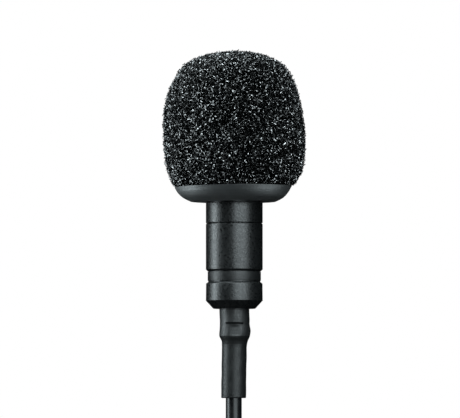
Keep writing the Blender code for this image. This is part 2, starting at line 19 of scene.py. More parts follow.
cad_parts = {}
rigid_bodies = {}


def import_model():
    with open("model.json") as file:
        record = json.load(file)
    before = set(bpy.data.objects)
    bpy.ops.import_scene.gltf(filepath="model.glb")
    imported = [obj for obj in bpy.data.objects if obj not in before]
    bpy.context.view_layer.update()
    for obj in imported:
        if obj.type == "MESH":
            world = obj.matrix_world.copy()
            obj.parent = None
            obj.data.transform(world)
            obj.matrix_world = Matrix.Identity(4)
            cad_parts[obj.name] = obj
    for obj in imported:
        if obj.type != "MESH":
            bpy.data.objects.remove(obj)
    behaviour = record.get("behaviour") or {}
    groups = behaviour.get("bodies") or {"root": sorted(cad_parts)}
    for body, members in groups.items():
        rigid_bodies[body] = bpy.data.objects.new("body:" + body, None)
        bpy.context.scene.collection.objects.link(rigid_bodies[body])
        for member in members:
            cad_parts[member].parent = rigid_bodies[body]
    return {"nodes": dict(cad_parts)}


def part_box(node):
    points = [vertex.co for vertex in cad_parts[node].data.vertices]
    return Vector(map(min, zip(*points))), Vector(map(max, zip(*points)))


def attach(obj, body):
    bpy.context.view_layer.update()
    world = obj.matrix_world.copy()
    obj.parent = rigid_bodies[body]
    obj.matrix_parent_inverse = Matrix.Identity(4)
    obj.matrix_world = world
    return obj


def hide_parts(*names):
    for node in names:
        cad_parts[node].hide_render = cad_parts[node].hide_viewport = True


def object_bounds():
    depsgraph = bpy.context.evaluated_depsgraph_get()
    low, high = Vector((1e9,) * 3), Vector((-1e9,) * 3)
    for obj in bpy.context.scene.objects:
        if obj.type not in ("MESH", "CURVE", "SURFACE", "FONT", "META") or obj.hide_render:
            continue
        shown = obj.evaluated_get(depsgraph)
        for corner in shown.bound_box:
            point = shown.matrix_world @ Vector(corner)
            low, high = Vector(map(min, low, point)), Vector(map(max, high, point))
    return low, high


MM = 0.001

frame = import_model()
cad_lo, cad_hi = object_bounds()
CAD = frame["nodes"]

for start in ("Cube", "Light", "Camera"):
    if start in bpy.data.objects and start not in CAD:
        bpy.data.objects.remove(bpy.data.objects[start], do_unlink=True)

scene = bpy.context.scene
scene.view_settings.view_transform = "Standard"
scene.view_settings.look = "None"

# ------------------------------------------------------------------ dimensions
# Repeated from the design, in millimetres
BODY_R, GROOVE_R, GROOVE_HALF, SHOULDER = 2.84, 2.66, 0.52, 0.18
SEAM_Z, SEAM_GAP, SEAM_BEVEL = 5.30, 0.05, 0.05
RING_TOP_Z, NECK_R, HEAD_TOP_Z, HEAD_BORE_R, INLET_R = 7.36, 2.50, 14.0, 2.20, 1.70
SPIGOT_R, BARREL_BORE_R = 2.42, 2.47
CAP_STRAIGHT_Z, CAP_BOTTOM_Z, CAP_FACE_R, CAP_BORE_R, CAP_HOLE_R = (
    -2.42,
    -3.22,
    2.10,
    2.00,
    1.56,
)
BOOT_R1, BOOT_R2, BOOT_STEP_Z, BOOT_SLIM_Z, BOOT_END_Z, BOOT_FLANGE_R = (
    1.50,
    1.22,
    -6.00,
    -6.80,
    -12.10,
    1.90,
)
SLIT_Z, SLIT_W, SLIT_H, SLIT_FLOOR_Y = -4.69, 1.70, 0.20, -0.96
CABLE_R, CABLE_BORE_R, CABLE_TOP_Z = 0.80, 0.84, -0.55
FOAM_R, FOAM_MID_Z, FOAM_TOP_Z, FOAM_LOW_B, FOAM_RIM_Z = 7.07, 13.45, 22.50, 7.15, 9.08
BASE_RIM_R, BASE_RIM_Z, BASE_BOTTOM_Z, BASE_ARC_R, BASE_BORE_R = (
    5.70,
    9.00,
    7.42,
    3.20,
    2.62,
)
COLLAR_R, COLLAR_TOP_Z = 3.25, 11.00
PITCH, LAYERS, COLUMNS, FOLD_R = 1.66, 3, 6, 6.00
LOOP_R = FOLD_R + (LAYERS - 1) * PITCH
HANK_TOP_Z, HANK_LEG, HANK_BACK_Y = -31.2, 9.9, 2.10
WAIST_IN, WAIST_SPREAD, LEAD_START_Z = 0.80, 5.50, -14.70
TIE_HALF_H, TIE_T, TIE_GAP = 2.00, 0.90, 0.10
PLUG_X, PLUG_Y, PLUG_Z = 6.00, -11.30, -33.2


def smooth(t):
    t = min(1.0, max(0.0, t))
    return t * t * (3.0 - 2.0 * t)


# ---------------------------------------------------------------------- camera
# It looks along +Y from 2.5 degrees below the horizon, through a long lens.
TARGET = Vector((-0.43 * MM, 0.0, 6.75 * MM))
camera_data = bpy.data.cameras.new("camera")
camera_data.sensor_width = 36.0
camera_data.lens = 36.0 * 600.0 / 46.0
camera_data.clip_start = 0.01
camera_data.clip_end = 20.0
camera = bpy.data.objects.new("camera", camera_data)
scene.collection.objects.link(camera)
tilt = math.radians(-2.5)
away = Vector((0.0, -math.cos(tilt), math.sin(tilt)))
camera.location = TARGET + away * 0.6
camera.rotation_mode = "QUATERNION"
camera.rotation_quaternion = (-away).to_track_quat("-Z", "Y")
scene.camera = camera

# -------------------------------------------------------------- light and floor
world = bpy.data.worlds.new("studio")
scene.world = world
world.use_nodes = True
wt = world.node_tree
wt.nodes.clear()
out = wt.nodes.new("ShaderNodeOutputWorld")
mix = wt.nodes.new("ShaderNodeMixShader")
path = wt.nodes.new("ShaderNodeLightPath")
seen = wt.nodes.new("ShaderNodeBackground")
seen.inputs["Color"].default_value = (1, 1, 1, 1)
seen.inputs["Strength"].default_value = 1.0
room = wt.nodes.new("ShaderNodeBackground")
room.inputs["Color"].default_value = (0.88, 1.0, 1.03, 1)
room.inputs["Strength"].default_value = 0.008
wt.links.new(path.outputs["Is Camera Ray"], mix.inputs[0])
wt.links.new(room.outputs[0], mix.inputs[1])
wt.links.new(seen.outputs[0], mix.inputs[2])
wt.links.new(mix.outputs[0], out.inputs[0])


def panel(name, azimuth, elevation, distance, width, height, radiance, spread=180):
    """A soft light that faces the object. Azimuth 0 is the camera's side and 90
    is to the right; radiance sets how bright the panel looks in a reflection."""
    light = bpy.data.lights.new(name, "AREA")
    light.shape = "RECTANGLE"
    light.size = width
    light.size_y = height
    light.energy = radiance * math.pi * width * height
    light.color = (0.88, 1.0, 1.04)
    light.spread = math.radians(spread)
    o = bpy.data.objects.new(name, light)
    scene.collection.objects.link(o)
    a, e = math.radians(azimuth), math.radians(elevation)
    d = Vector((math.sin(a) * math.cos(e), -math.cos(a) * math.cos(e), math.sin(e)))
    o.location = Vector((0, 0, 8 * MM)) + d * distance
    o.rotation_mode = "QUATERNION"
    o.rotation_quaternion = d.to_track_quat("Z", "Y")
    o.visible_camera = False
    return o


panel("light_left", -88, 14, 0.45, 0.21, 0.90, 7.8)
wide_lights = [
    panel("light_front", 27, 16, 0.60, 0.60, 0.60, 4.7),
    panel("light_top", 10, 78, 0.50, 0.60, 0.60, 1.8),
]
panel("light_back", 182, 56, 0.70, 0.45, 0.35, 3.2)
low_lights = [
    panel("light_low_left", -108, -28, 0.45, 0.24, 0.24, 6.5),
    panel("light_low_right", 84, -36, 0.45, 0.28, 0.28, 4.8),
]
edge_light = panel("light_edge", 12, 70, 0.45, 0.50, 0.45, 8.0)
foam_lights = [
    panel("light_foam_key", 24, 26, 0.60, 0.34, 0.34, 11.0),
    panel("light_foam_top", -14, 70, 0.50, 0.26, 0.26, 6.0),
]
plug_lights = [
    panel("light_plug_%d" % k, a, -8, 0.50, 0.30, 1.10, 0.36 + 0.44 * (k % 2))
    for k, a in enumerate((-65, -12, 62, 118, 165, -130))
]


def flag(light, objects, lit):
    """Lights only these objects, or keeps the light off them."""
    group = bpy.data.collections.new(light.name + "_flag")
    for o in objects:
        group.objects.link(o)
    light.light_linking.receiver_collection = group
    for o in group.collection_objects:
        o.light_linking.link_state = "INCLUDE" if lit else "EXCLUDE"


floor_mesh = bpy.data.meshes.new("floor")
bm = bmesh.new()
bmesh.ops.create_circle(bm, cap_ends=True, segments=96, radius=0.16)
bm.to_mesh(floor_mesh)
bm.free()
floor = bpy.data.objects.new("floor", floor_mesh)
floor.location = (0, 0, cad_lo.z - 0.3 * MM)
floor.visible_glossy = False
scene.collection.objects.link(floor)


# ------------------------------------------------------------------- materials
def new_material(name):
    m = bpy.data.materials.new(name)
    m.use_nodes = True
    return m, m.node_tree, m.node_tree.nodes["Principled BSDF"]


def finish_of(
    name,
    colour,
    rough,
    metallic=0.0,
    ior=1.5,
    cloud=(900.0, 0.10),
    speck=(9000.0, 0.12),
    rough_by=0.06,
    rough_scale=None,
    bump=(7000.0, 0.010, 0.25),
    coat=None,
    sheen=None,
    specular=0.5,
    stretch=None,
):
    """A finish made of noise in the object's own millimetres: broad clouds and
    fine specks in the colour, a roughness that varies, and a fine relief.
    Scales are per metre. The bump is (scale, depth in mm, strength)."""
    m, nt, p = new_material(name)
    place = nt.nodes.new("ShaderNodeTexCoord")
    source = place.outputs["Object"]
    if stretch:
        mapping = nt.nodes.new("ShaderNodeMapping")
        mapping.inputs["Scale"].default_value = stretch
        nt.links.new(source, mapping.inputs["Vector"])
        source = mapping.outputs["Vector"]

    def noise(scale, detail, w=0.0):
        n = nt.nodes.new("ShaderNodeTexNoise")
        n.noise_dimensions = "4D" if w else "3D"
        if w:
            n.inputs["W"].default_value = w
        n.inputs["Scale"].default_value = scale
        n.inputs["Detail"].default_value = detail
        nt.links.new(source, n.inputs["Vector"])
        return n.outputs["Fac"]

    def spread(value, low, high):
        r = nt.nodes.new("ShaderNodeMapRange")
        r.inputs["From Min"].default_value = 0.30
        r.inputs["From Max"].default_value = 0.70
        r.inputs["To Min"].default_value = low
        r.inputs["To Max"].default_value = high
        nt.links.new(value, r.inputs["Value"])
        return r.outputs["Result"]

    def tinted(value, base, amount):
        mixer = nt.nodes.new("ShaderNodeMix")
        mixer.data_type = "RGBA"
        a, b = mixer.inputs["A"], mixer.inputs["B"]
        a.default_value = (*[c * (1 - amount) for c in base], 1)
        b.default_value = (*[min(1.0, c * (1 + amount)) for c in base], 1)
        nt.links.new(value, mixer.inputs["Factor"])
        return mixer.outputs["Result"]

    clouds = tinted(spread(noise(cloud[0], 3.0), 0, 1), colour, cloud[1])
    specks = spread(noise(speck[0], 2.0, 3.1), 1 - speck[1], 1 + speck[1])
    scaled = nt.nodes.new("ShaderNodeVectorMath")
    scaled.operation = "SCALE"
    nt.links.new(clouds, scaled.inputs[0])
    nt.links.new(specks, scaled.inputs["Scale"])
    nt.links.new(scaled.outputs["Vector"], p.inputs["Base Color"])
    rough_noise = noise(rough_scale or cloud[0] * 3.0, 4.0, 7.7)
    nt.links.new(
        spread(rough_noise, max(0.02, rough - rough_by), min(1.0, rough + rough_by)),
        p.inputs["Roughness"],
    )
    if bump:
        b = nt.nodes.new("ShaderNodeBump")
        b.inputs["Strength"].default_value = bump[2]
        b.inputs["Distance"].default_value = bump[1] * MM
        nt.links.new(noise(bump[0], 3.0, 1.3), b.inputs["Height"])
        nt.links.new(b.outputs["Normal"], p.inputs["Normal"])
    p.inputs["Metallic"].default_value = metallic
    p.inputs["IOR"].default_value = ior
    p.inputs["Specular IOR Level"].default_value = specular
    if coat:
        p.inputs["Coat Weight"].default_value = coat[0]
        p.inputs["Coat Roughness"].default_value = coat[1]
    if sheen:
        p.inputs["Sheen Weight"].default_value = sheen[0]
        p.inputs["Sheen Roughness"].default_value = sheen[1]
    return m


FLOOR = finish_of(
    "floor_pale", (0.86, 0.80, 0.79), 0.8, cloud=(3, 0.02), speck=(40, 0.01), bump=None
)
floor_mesh.materials.append(FLOOR)

BODY = finish_of(
    "body_black",
    (0.0020, 0.0024, 0.0025),
    0.35,
    cloud=(700, 0.15),
    speck=(6500, 0.30),
    rough_by=0.15,
    rough_scale=5800,
    bump=(7200, 0.022, 1.0),
)
BODY_GROOVE = finish_of(
    "body_groove",
    (0.0020, 0.0024, 0.0025),
    0.44,
    cloud=(700, 0.15),
    speck=(6500, 0.30),
    rough_by=0.14,
    rough_scale=5800,
    bump=(7200, 0.024, 1.0),
    specular=0.42,
)
BASE = finish_of(
    "base_plastic",
    (0.0080, 0.0098, 0.0101),
    0.56,
    cloud=(400, 0.08),
    speck=(9000, 0.10),
    rough_by=0.04,
    bump=(9000, 0.006, 0.30),
    specular=1.0,
)
RUBBER = finish_of(
    "rubber_black",
    (0.0026, 0.0030, 0.0031),
    0.45,
    cloud=(800, 0.14),
    speck=(7000, 0.22),
    rough_by=0.16,
    rough_scale=6500,
    bump=(7000, 0.026, 1.0),
    specular=0.31,
)
# The floor of the slit is the same rubber, made dull and nearly unreflective. This is painted shade for
# the dark inside of the slit.
RUBBER_SLIT_SHADE = finish_of(
    "rubber_slit_shade",
    (0.0075, 0.0085, 0.0088),
    0.80,
    cloud=(1500, 0.3),
    speck=(9000, 0.4),
    bump=(9000, 0.03, 1.0),
    specular=0.25,
)
# The band under the boot's step gets a darker, duller copy of the rubber. This is painted shade for the
# shadow that the swelling above casts on it.
RUBBER_STEP_SHADE = finish_of(
    "rubber_black_step_shade",
    (0.0022, 0.0025, 0.0026),
    0.62,
    cloud=(800, 0.14),
    speck=(7000, 0.22),
    rough_by=0.10,
    rough_scale=6500,
    bump=(7000, 0.026, 1.0),
    specular=0.17,
)
RUBBER_TOP = finish_of(
    "rubber_black_sleeve",
    (0.0030, 0.0034, 0.0035),
    0.50,
    cloud=(800, 0.14),
    speck=(7000, 0.22),
    rough_by=0.16,
    rough_scale=6500,
    bump=(7000, 0.030, 1.0),
    specular=0.49,
)
CABLE = finish_of(
    "cable_black",
    (0.0022, 0.0025, 0.0030),
    0.33,
    cloud=(500, 0.12),
    speck=(6000, 0.15),
    rough_by=0.05,
    bump=(2500, 0.008, 0.30),
    specular=0.36,
)


def metal(name, colour, rough, stretch=None, ior=1.5):
    return finish_of(
        name,
        colour,
        rough,
        metallic=1.0,
        ior=ior,
        cloud=(600, 0.06),
        speck=(9000, 0.05),
        rough_by=0.06,
        rough_scale=4000,
        bump=(6000, 0.003, 0.25),
        stretch=stretch,
    )


FINISHES = {
    "body_black": BODY,
    "base_plastic": BASE,
    "rubber_black": RUBBER,
    "cable_black": CABLE,
    "grip_rubber": finish_of(
        "grip_rubber",
        (0.010, 0.0112, 0.0115),
        0.62,
        cloud=(900, 0.18),
        speck=(8000, 0.25),
        bump=(4000, 0.020, 0.7),
        specular=0.35,
    ),
    "steel": metal("steel", (0.42, 0.41, 0.395), 0.32),
    "felt_grey": finish_of(
        "felt_grey",
        (0.10, 0.102, 0.105),
        0.95,
        cloud=(1500, 0.30),
        speck=(9000, 0.45),
        bump=(5000, 0.060, 1.0),
        specular=0.15,
        sheen=(0.35, 0.5),
    ),
    "aluminium": metal("aluminium", (0.78, 0.79, 0.80), 0.30, stretch=(1, 1, 12)),
    "gold_film": metal("gold_film", (0.80, 0.60, 0.26), 0.22),
    "brass": metal("brass", (0.70, 0.52, 0.24), 0.30, stretch=(1, 1, 10)),
    "insulator_white": finish_of(
        "insulator_white", (0.70, 0.69, 0.64), 0.48, cloud=(800, 0.05), speck=(7000, 0.05)
    ),
    "board_green": finish_of(
        "board_green",
        (0.015, 0.105, 0.045),
        0.38,
        cloud=(1800, 0.22),
        speck=(9000, 0.20),
        bump=(5200, 0.012, 0.5),
        coat=(0.3, 0.15),
    ),
    "chip_black": finish_of(
        "chip_black", (0.014, 0.0145, 0.015), 0.58, speck=(12000, 0.35), bump=(11000, 0.008, 0.6)
    ),
    "chip_tan": finish_of(
        "chip_tan", (0.40, 0.285, 0.175), 0.42, speck=(12000, 0.12), bump=(11000, 0.004, 0.4)
    ),
    "solder": metal("solder", (0.60, 0.60, 0.61), 0.36),
    "wire_red": finish_of(
        "wire_red", (0.42, 0.018, 0.016), 0.42, cloud=(2000, 0.10), speck=(9000, 0.10)
    ),
    "wire_copper": metal("wire_copper", (0.75, 0.37, 0.21), 0.30, stretch=(4, 4, 1)),
    "tie_fabric": finish_of(
        "tie_fabric",
        (0.0085, 0.0088, 0.0092),
        0.92,
        cloud=(700, 0.25),
        speck=(4500, 0.55),
        rough_by=0.05,
        bump=(3800, 0.14, 1.0),
        specular=0.20,
        sheen=(0.18, 0.55),
    ),
    "plug_moulding": finish_of(
        "plug_moulding",
        (0.011, 0.0115, 0.012),
        0.46,
        cloud=(350, 0.12),
        speck=(6000, 0.18),
        rough_by=0.07,
        bump=(4200, 0.012, 0.5),
        specular=0.45,
    ),
    "plug_nickel": metal("plug_nickel", (0.68, 0.655, 0.61), 0.16, stretch=(1, 1, 14)),
    "plug_band": finish_of(
        "plug_band", (0.010, 0.0105, 0.011), 0.34, cloud=(900, 0.10), speck=(9000, 0.12)
    ),
}


# ------------------------------------------------------------------- mesh tools
def link(o, body, replaced=(), mat=None):
    scene.collection.objects.link(o)
    if mat:
        o.data.materials.append(mat)
    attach(o, body)
    if replaced:
        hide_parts(*replaced)
    return o


def rounded(points, n=4, closed=True):
    """An outline with rounded corners. Each point is (radius, height, rounding)."""
    pts = [Vector((p[0], p[1])) for p in points]
    rad = [p[2] if len(p) > 2 else 0.0 for p in points]
    out = []
    count = len(pts)
    for i, p in enumerate(pts):
        if rad[i] <= 0 or (not closed and i in (0, count - 1)):
            out.append((p.x, p.y))
            continue
        a = pts[i - 1] - p
        b = pts[(i + 1) % count] - p
        half = a.angle(b) / 2
        t = min(rad[i] / math.tan(half), 0.48 * a.length, 0.48 * b.length)
        s, e = p + a.normalized() * t, p + b.normalized() * t
        for k in range(n + 1):
            u = k / n
            q = s * (1 - u) ** 2 + p * 2 * u * (1 - u) + e * u * u
            out.append((q.x, q.y))
    return out


def lathe(name, outline, sides, closed=True, at=(0.0, 0.0, 0.0), shape=None, sharp=32):
    """Turns an outline of (radius, height) in mm about Z. shape(x, y, z) may
    move a point. Points of radius 0 become poles."""
    verts, faces, rows = [], [], []
    for r, z in outline:
        if r < 1e-9:
            rows.append([len(verts)])
            verts.append((0.0, 0.0, z))
        else:
            rows.append(list(range(len(verts), len(verts) + sides)))
            for k in range(sides):
                a = 2 * math.pi * (k + 0.5) / sides
                verts.append((r * math.cos(a), r * math.sin(a), z))
    pairs = list(zip(rows, rows[1:])) + ([(rows[-1], rows[0])] if closed else [])
    for up, down in pairs:
        for k in range(sides):
            j = (k + 1) % sides
            if len(up) == 1 and len(down) == 1:
                continue
            if len(up) == 1:
                faces.append((up[0], down[k], down[j]))
            elif len(down) == 1:
                faces.append((up[k], down[0], up[j]))
            else:
                faces.append((up[k], down[k], down[j], up[j]))
    if shape:
        verts = [shape(*v) for v in verts]
    me = bpy.data.meshes.new(name)
    me.from_pydata(
        [(at[0] * MM + x * MM, at[1] * MM + y * MM, at[2] * MM + z * MM) for x, y, z in verts],
        [],
        faces,
    )
    me.update()
    me.shade_smooth()
    me.set_sharp_from_angle(angle=math.radians(sharp))
    return bpy.data.objects.new(name, me)


# ------------------------------------------------------------- head and barrel
B = 0.045  # rounding of a turned edge, mm
seam_top, seam_low = SEAM_Z + SEAM_GAP / 2, SEAM_Z - SEAM_GAP / 2
head = lathe(
    "head_shell",
    rounded(
        [
            (NECK_R - 0.18, HEAD_TOP_Z, 0.04),
            (NECK_R, HEAD_TOP_Z - 0.18, 0.04),
            (NECK_R, RING_TOP_Z, 0.03),
            (BODY_R, RING_TOP_Z, 0.06),
            (BODY_R, seam_top + SEAM_BEVEL, 0.03),
            (BODY_R - SEAM_BEVEL, seam_top, 0.02),
            (SPIGOT_R, seam_top),
            (SPIGOT_R, 4.20, 0.03),
            (HEAD_BORE_R, 4.20, 0.03),
            (HEAD_BORE_R, HEAD_TOP_Z - 0.30),
            (INLET_R, HEAD_TOP_Z - 0.30, 0.03),
            (INLET_R, HEAD_TOP_Z, 0.05),
        ]
    ),
    160,
)
link(head, "microphone", ["front_cap"], BODY)

barrel = lathe(
    "barrel_shell",
    rounded(
        [
            (BODY_R - SEAM_BEVEL, seam_low, 0.02),
            (BODY_R, seam_low - SEAM_BEVEL - 0.03, 0.06),
            (BODY_R, GROOVE_HALF + SHOULDER, 0.035),
            (GROOVE_R, GROOVE_HALF, 0.02),
            (BARREL_BORE_R, GROOVE_HALF),
            (BARREL_BORE_R, seam_low),
        ]
    ),
    160,
)
link(barrel, "microphone", ["barrel"], BODY)

# The groove's floor meets the rear cap's shoulder at a fine turned line.
rear = lathe(
    "rear_cap_shell",
    rounded(
        [
            (SPIGOT_R, 2.20, 0.04),
            (SPIGOT_R, GROOVE_HALF - 0.05),
            (GROOVE_R, GROOVE_HALF - 0.05, 0.02),
            (GROOVE_R, -GROOVE_HALF + 0.10, 0.02),
            (GROOVE_R - 0.07, -GROOVE_HALF + 0.07, 0.01),
            (GROOVE_R - 0.07, -GROOVE_HALF - 0.02, 0.01),
            (BODY_R - 0.02, -GROOVE_HALF - SHOULDER - 0.02, 0.07),
            (BODY_R, CAP_STRAIGHT_Z, 0.05),
            (CAP_FACE_R, CAP_BOTTOM_Z, 0.05),
            (CAP_HOLE_R, CAP_BOTTOM_Z, 0.03),
            (CAP_HOLE_R, -2.45),
            (CAP_BORE_R, -2.45),
            (CAP_BORE_R, 2.20, 0.03),
        ]
    ),
    160,
)
link(rear, "microphone", ["rear_cap"], BODY)
rear.data.materials.append(BODY_GROOVE)
for f in rear.data.polygons:
    c = f.center / MM
    if abs(c.z) < GROOVE_HALF and GROOVE_R - 0.02 < math.hypot(c.x, c.y) < GROOVE_R + 0.01:
        f.material_index = 1

# -------------------------------------------------------------- windscreen base
# (radius, height) down the outside: steep at the rim, then easing to the flat
BASE_LOW_Z = BASE_BOTTOM_Z + 0.07
CUP = [
    (5.88, 8.98, 0.03),
    (5.76, 8.78, 0.2),
    (5.61, 8.50, 0.2),
    (5.44, 8.28, 0.2),
    (5.24, 8.06, 0.2),
    (5.00, 7.86, 0.2),
    (4.70, 7.69, 0.2),
    (4.42, 7.56, 0.12),
    (4.26, BASE_LOW_Z, 0.03),
]
CUP_X = -0.11  # the soft base sits a little off the axis


def off_axis(x, y, z):
    out = smooth((math.hypot(x, y) - 2.7) / 0.6)
    return x + CUP_X * out, y, z + 0.014 * x * out * smooth((z - 7.6) / 1.2)


base = lathe(
    "windscreen_cup",
    rounded(
        [
            (COLLAR_R, COLLAR_TOP_Z, 0.08),
            (COLLAR_R, 8.20),
            (4.55, 8.20, 0.1),
            (5.20, 8.70, 0.1),
            (5.50, 8.96, 0.04),
        ]
        + CUP
        + [
            (BASE_BORE_R, BASE_LOW_Z, 0.08),
            (BASE_BORE_R, 8.60, 0.03),
            (2.95, 8.60, 0.03),
            (2.95, 9.10, 0.03),
            (BASE_BORE_R, 9.10, 0.03),
            (BASE_BORE_R, COLLAR_TOP_Z, 0.08),
        ]
    ),
    160,
    shape=off_axis,
)
link(base, "windscreen", ["windscreen_base"], BASE)


# --------------------------------------------------------------- strain relief
def boot_lean(z):
    return 0.05 * smooth((-3.1 - z) / 1.5) - 0.09 * smooth((-5.0 - z) / 7.1)


def boot_wobble(x, y, z):
    """The soft boot isn't quite true: a slight lean, a swelling where it was
    pressed over the step, a dent to the right of the slit, and the slit."""
    if z < CAP_BOTTOM_Z and math.hypot(x, y) > 1.0:
        a = math.atan2(y, x)
        right = max(0.0, math.cos(a)) ** 2
        left = max(0.0, -math.cos(a)) ** 2
        g = 0.085 * right * math.exp(-(((z + 5.45) / 0.42) ** 2))
        g -= 0.035 * right * math.exp(-(((z + 4.75) / 0.35) ** 2))
        g += 0.050 * left * math.exp(-(((z + 5.85) / 0.40) ** 2))
        g += 0.045 * left * smooth((-6.4 - z) / 0.5)
        g += 0.006 * math.sin(2.1 * z + 2 * a) + 0.006 * math.sin(3.7 * z - 3 * a)
        r = math.hypot(x, y)
        x, y = x * (r + g) / r, y * (r + g) / r
        flat = smooth((-4.80 - z) / 0.30) * smooth((z + 6.06) / 0.20)
        if y < -1.26 and r > 1.3:
            y += 0.75 * flat * (-1.38 - y) * smooth((-1.26 - y) / 0.20)
    x += boot_lean(z)
    if (
        abs(z - SLIT_Z + 0.012 * (x + 0.3)) < SLIT_H / 2
        and abs(x - 0.02) < SLIT_W / 2
        and y < -0.9
    ):
        y = max(y, SLIT_FLOOR_Y)
    return x, y, z


boot = [
    (BOOT_FLANGE_R, -1.75, 0.05),
    (BOOT_FLANGE_R, -2.38, 0.05),
    (BOOT_R1, -2.38, 0.03),
]
z = -3.0
while z > -4.50:
    boot.append((BOOT_R1, z))
    z -= 0.10
for z in np.arange(-4.54, -4.84, -0.02):
    boot.append((BOOT_R1, float(z)))
z = -4.92
while z > -5.75:
    boot.append((BOOT_R1, z))
    z -= 0.08
boot += [(1.50, -5.86), (1.495, -5.95), (1.475, -6.05), (1.44, -6.15), (1.395, -6.25)]
boot += [(1.35, -6.35), (1.312, -6.45), (1.285, -6.55), (1.265, -6.66), (1.248, -6.78)]
boot += [(1.235, -6.90)]
z = -7.05
while z > BOOT_END_Z + 0.25:
    boot.append((BOOT_R2, z))
    z -= 0.15
boot += [
    (BOOT_R2, BOOT_END_Z - 0.05, 0.10),
    (CABLE_BORE_R, BOOT_END_Z - 0.05, 0.04),
    (CABLE_BORE_R, -1.75, 0.03),
]
relief = lathe("flex_boot", rounded(boot), 160, shape=boot_wobble, sharp=50)
link(relief, "microphone", ["strain_relief"], RUBBER)
relief.data.materials.append(RUBBER_TOP)
relief.data.materials.append(RUBBER_SLIT_SHADE)
relief.data.materials.append(RUBBER_STEP_SHADE)
for f in relief.data.polygons:
    c = f.center / MM
    if c.z > BOOT_STEP_Z + 0.06:
        f.material_index = 1
    # faces under the step take the darker copy of the rubber: painted shade
    elif c.z > BOOT_SLIM_Z - 0.02:
        f.material_index = 3
    # the slit's floor takes the dull copy of the rubber: painted shade
    if (
        abs(c.z - SLIT_Z) < SLIT_H / 2 + 0.02
        and c.y < -0.88
        and abs(c.x) < SLIT_W / 2 + 0.03
        and math.hypot(c.x, c.y) < 1.44
    ):
        f.material_index = 2


# ----------------------------------------------------------------------- cable
def waist(x, z):
    mid = HANK_TOP_Z - HANK_LEG / 2
    pull = WAIST_IN * math.exp(-(((z - mid) / WAIST_SPREAD) ** 2))
    return x - math.copysign(pull, x) if abs(x) > 1.0 else x


def cable_route():
    """The centreline in mm: down out of the boot, over to the hank's right leg,
    eighteen turns in three layers, and forward over the top to the plug."""
    zb = HANK_TOP_Z - HANK_LEG
    front = HANK_BACK_Y - (COLUMNS - 1) * PITCH
    pts = []
    for i in range(16):
        z = CABLE_TOP_Z + (LEAD_START_Z - CABLE_TOP_Z) * i / 15
        pts.append((boot_lean(z) - 0.015 * smooth((-9.0 - z) / 3.0), 0.0, z))
    for i in range(1, 25):
        t = i / 24
        pts.append(
            (
                LOOP_R * smooth(t),
                HANK_BACK_Y * smooth(t / 0.5),
                LEAD_START_Z + (HANK_TOP_Z - LEAD_START_Z) * t,
            )
        )
    rng = np.random.default_rng(11)
    turns = []
    for n in range(LAYERS * COLUMNS):
        layer, column = divmod(n, COLUMNS)
        if layer % 2:
            column = COLUMNS - 1 - column
        turns.append((LOOP_R - PITCH * layer, HANK_BACK_Y - PITCH * column))
    for n, (r, y) in enumerate(turns):
        drop, lift = rng.uniform(-0.35, 0.35, 2)
        for i in range(1, 9):
            z = HANK_TOP_Z + (zb + drop - HANK_TOP_Z) * i / 8
            pts.append((waist(r, z), y, z))
        for i in range(1, 14):
            a = math.pi * i / 14
            x, z = r * math.cos(a), zb + drop - r * math.sin(a)
            pts.append((waist(x, z), y, z))
        for i in range(0, 9):
            z = zb + drop + (HANK_TOP_Z - zb - drop) * i / 8
            pts.append((waist(-r, z), y, z))
        if n + 1 < len(turns):
            r2, y2 = turns[n + 1]
            for i in range(1, 15):
                t = i / 14
                a = math.pi * (1 - t)
                s = smooth(t / 0.8)
                q = r + (r2 - r) * s
                x = q * math.cos(a)
                z = HANK_TOP_Z + (q + lift * math.sin(a)) * math.sin(a)
                pts.append((waist(x, z), y + (y2 - y) * s, z))
        else:
            for i in range(1, 19):
                t = i / 18
                a = math.pi * (1 - t)
                pts.append(
                    (
                        r * math.cos(a) + (PLUG_X - r) * smooth(t),
                        front + (PLUG_Y - front) * smooth(t),
                        HANK_TOP_Z + r * math.sin(a),
                    )
                )
    for z in (HANK_TOP_Z - 1.5, PLUG_Z - 3.0, PLUG_Z - 5.0, PLUG_Z - 8.5):
        pts.append((PLUG_X, PLUG_Y, z))
    return np.array(pts, float)


def resample(p, step):
    d = np.r_[0, np.cumsum(np.linalg.norm(np.diff(p, axis=0), axis=1))]
    n = int(round(d[-1] / step)) + 1
    t = np.linspace(0, d[-1], n)
    return np.stack([np.interp(t, d, p[:, k]) for k in range(3)], 1)


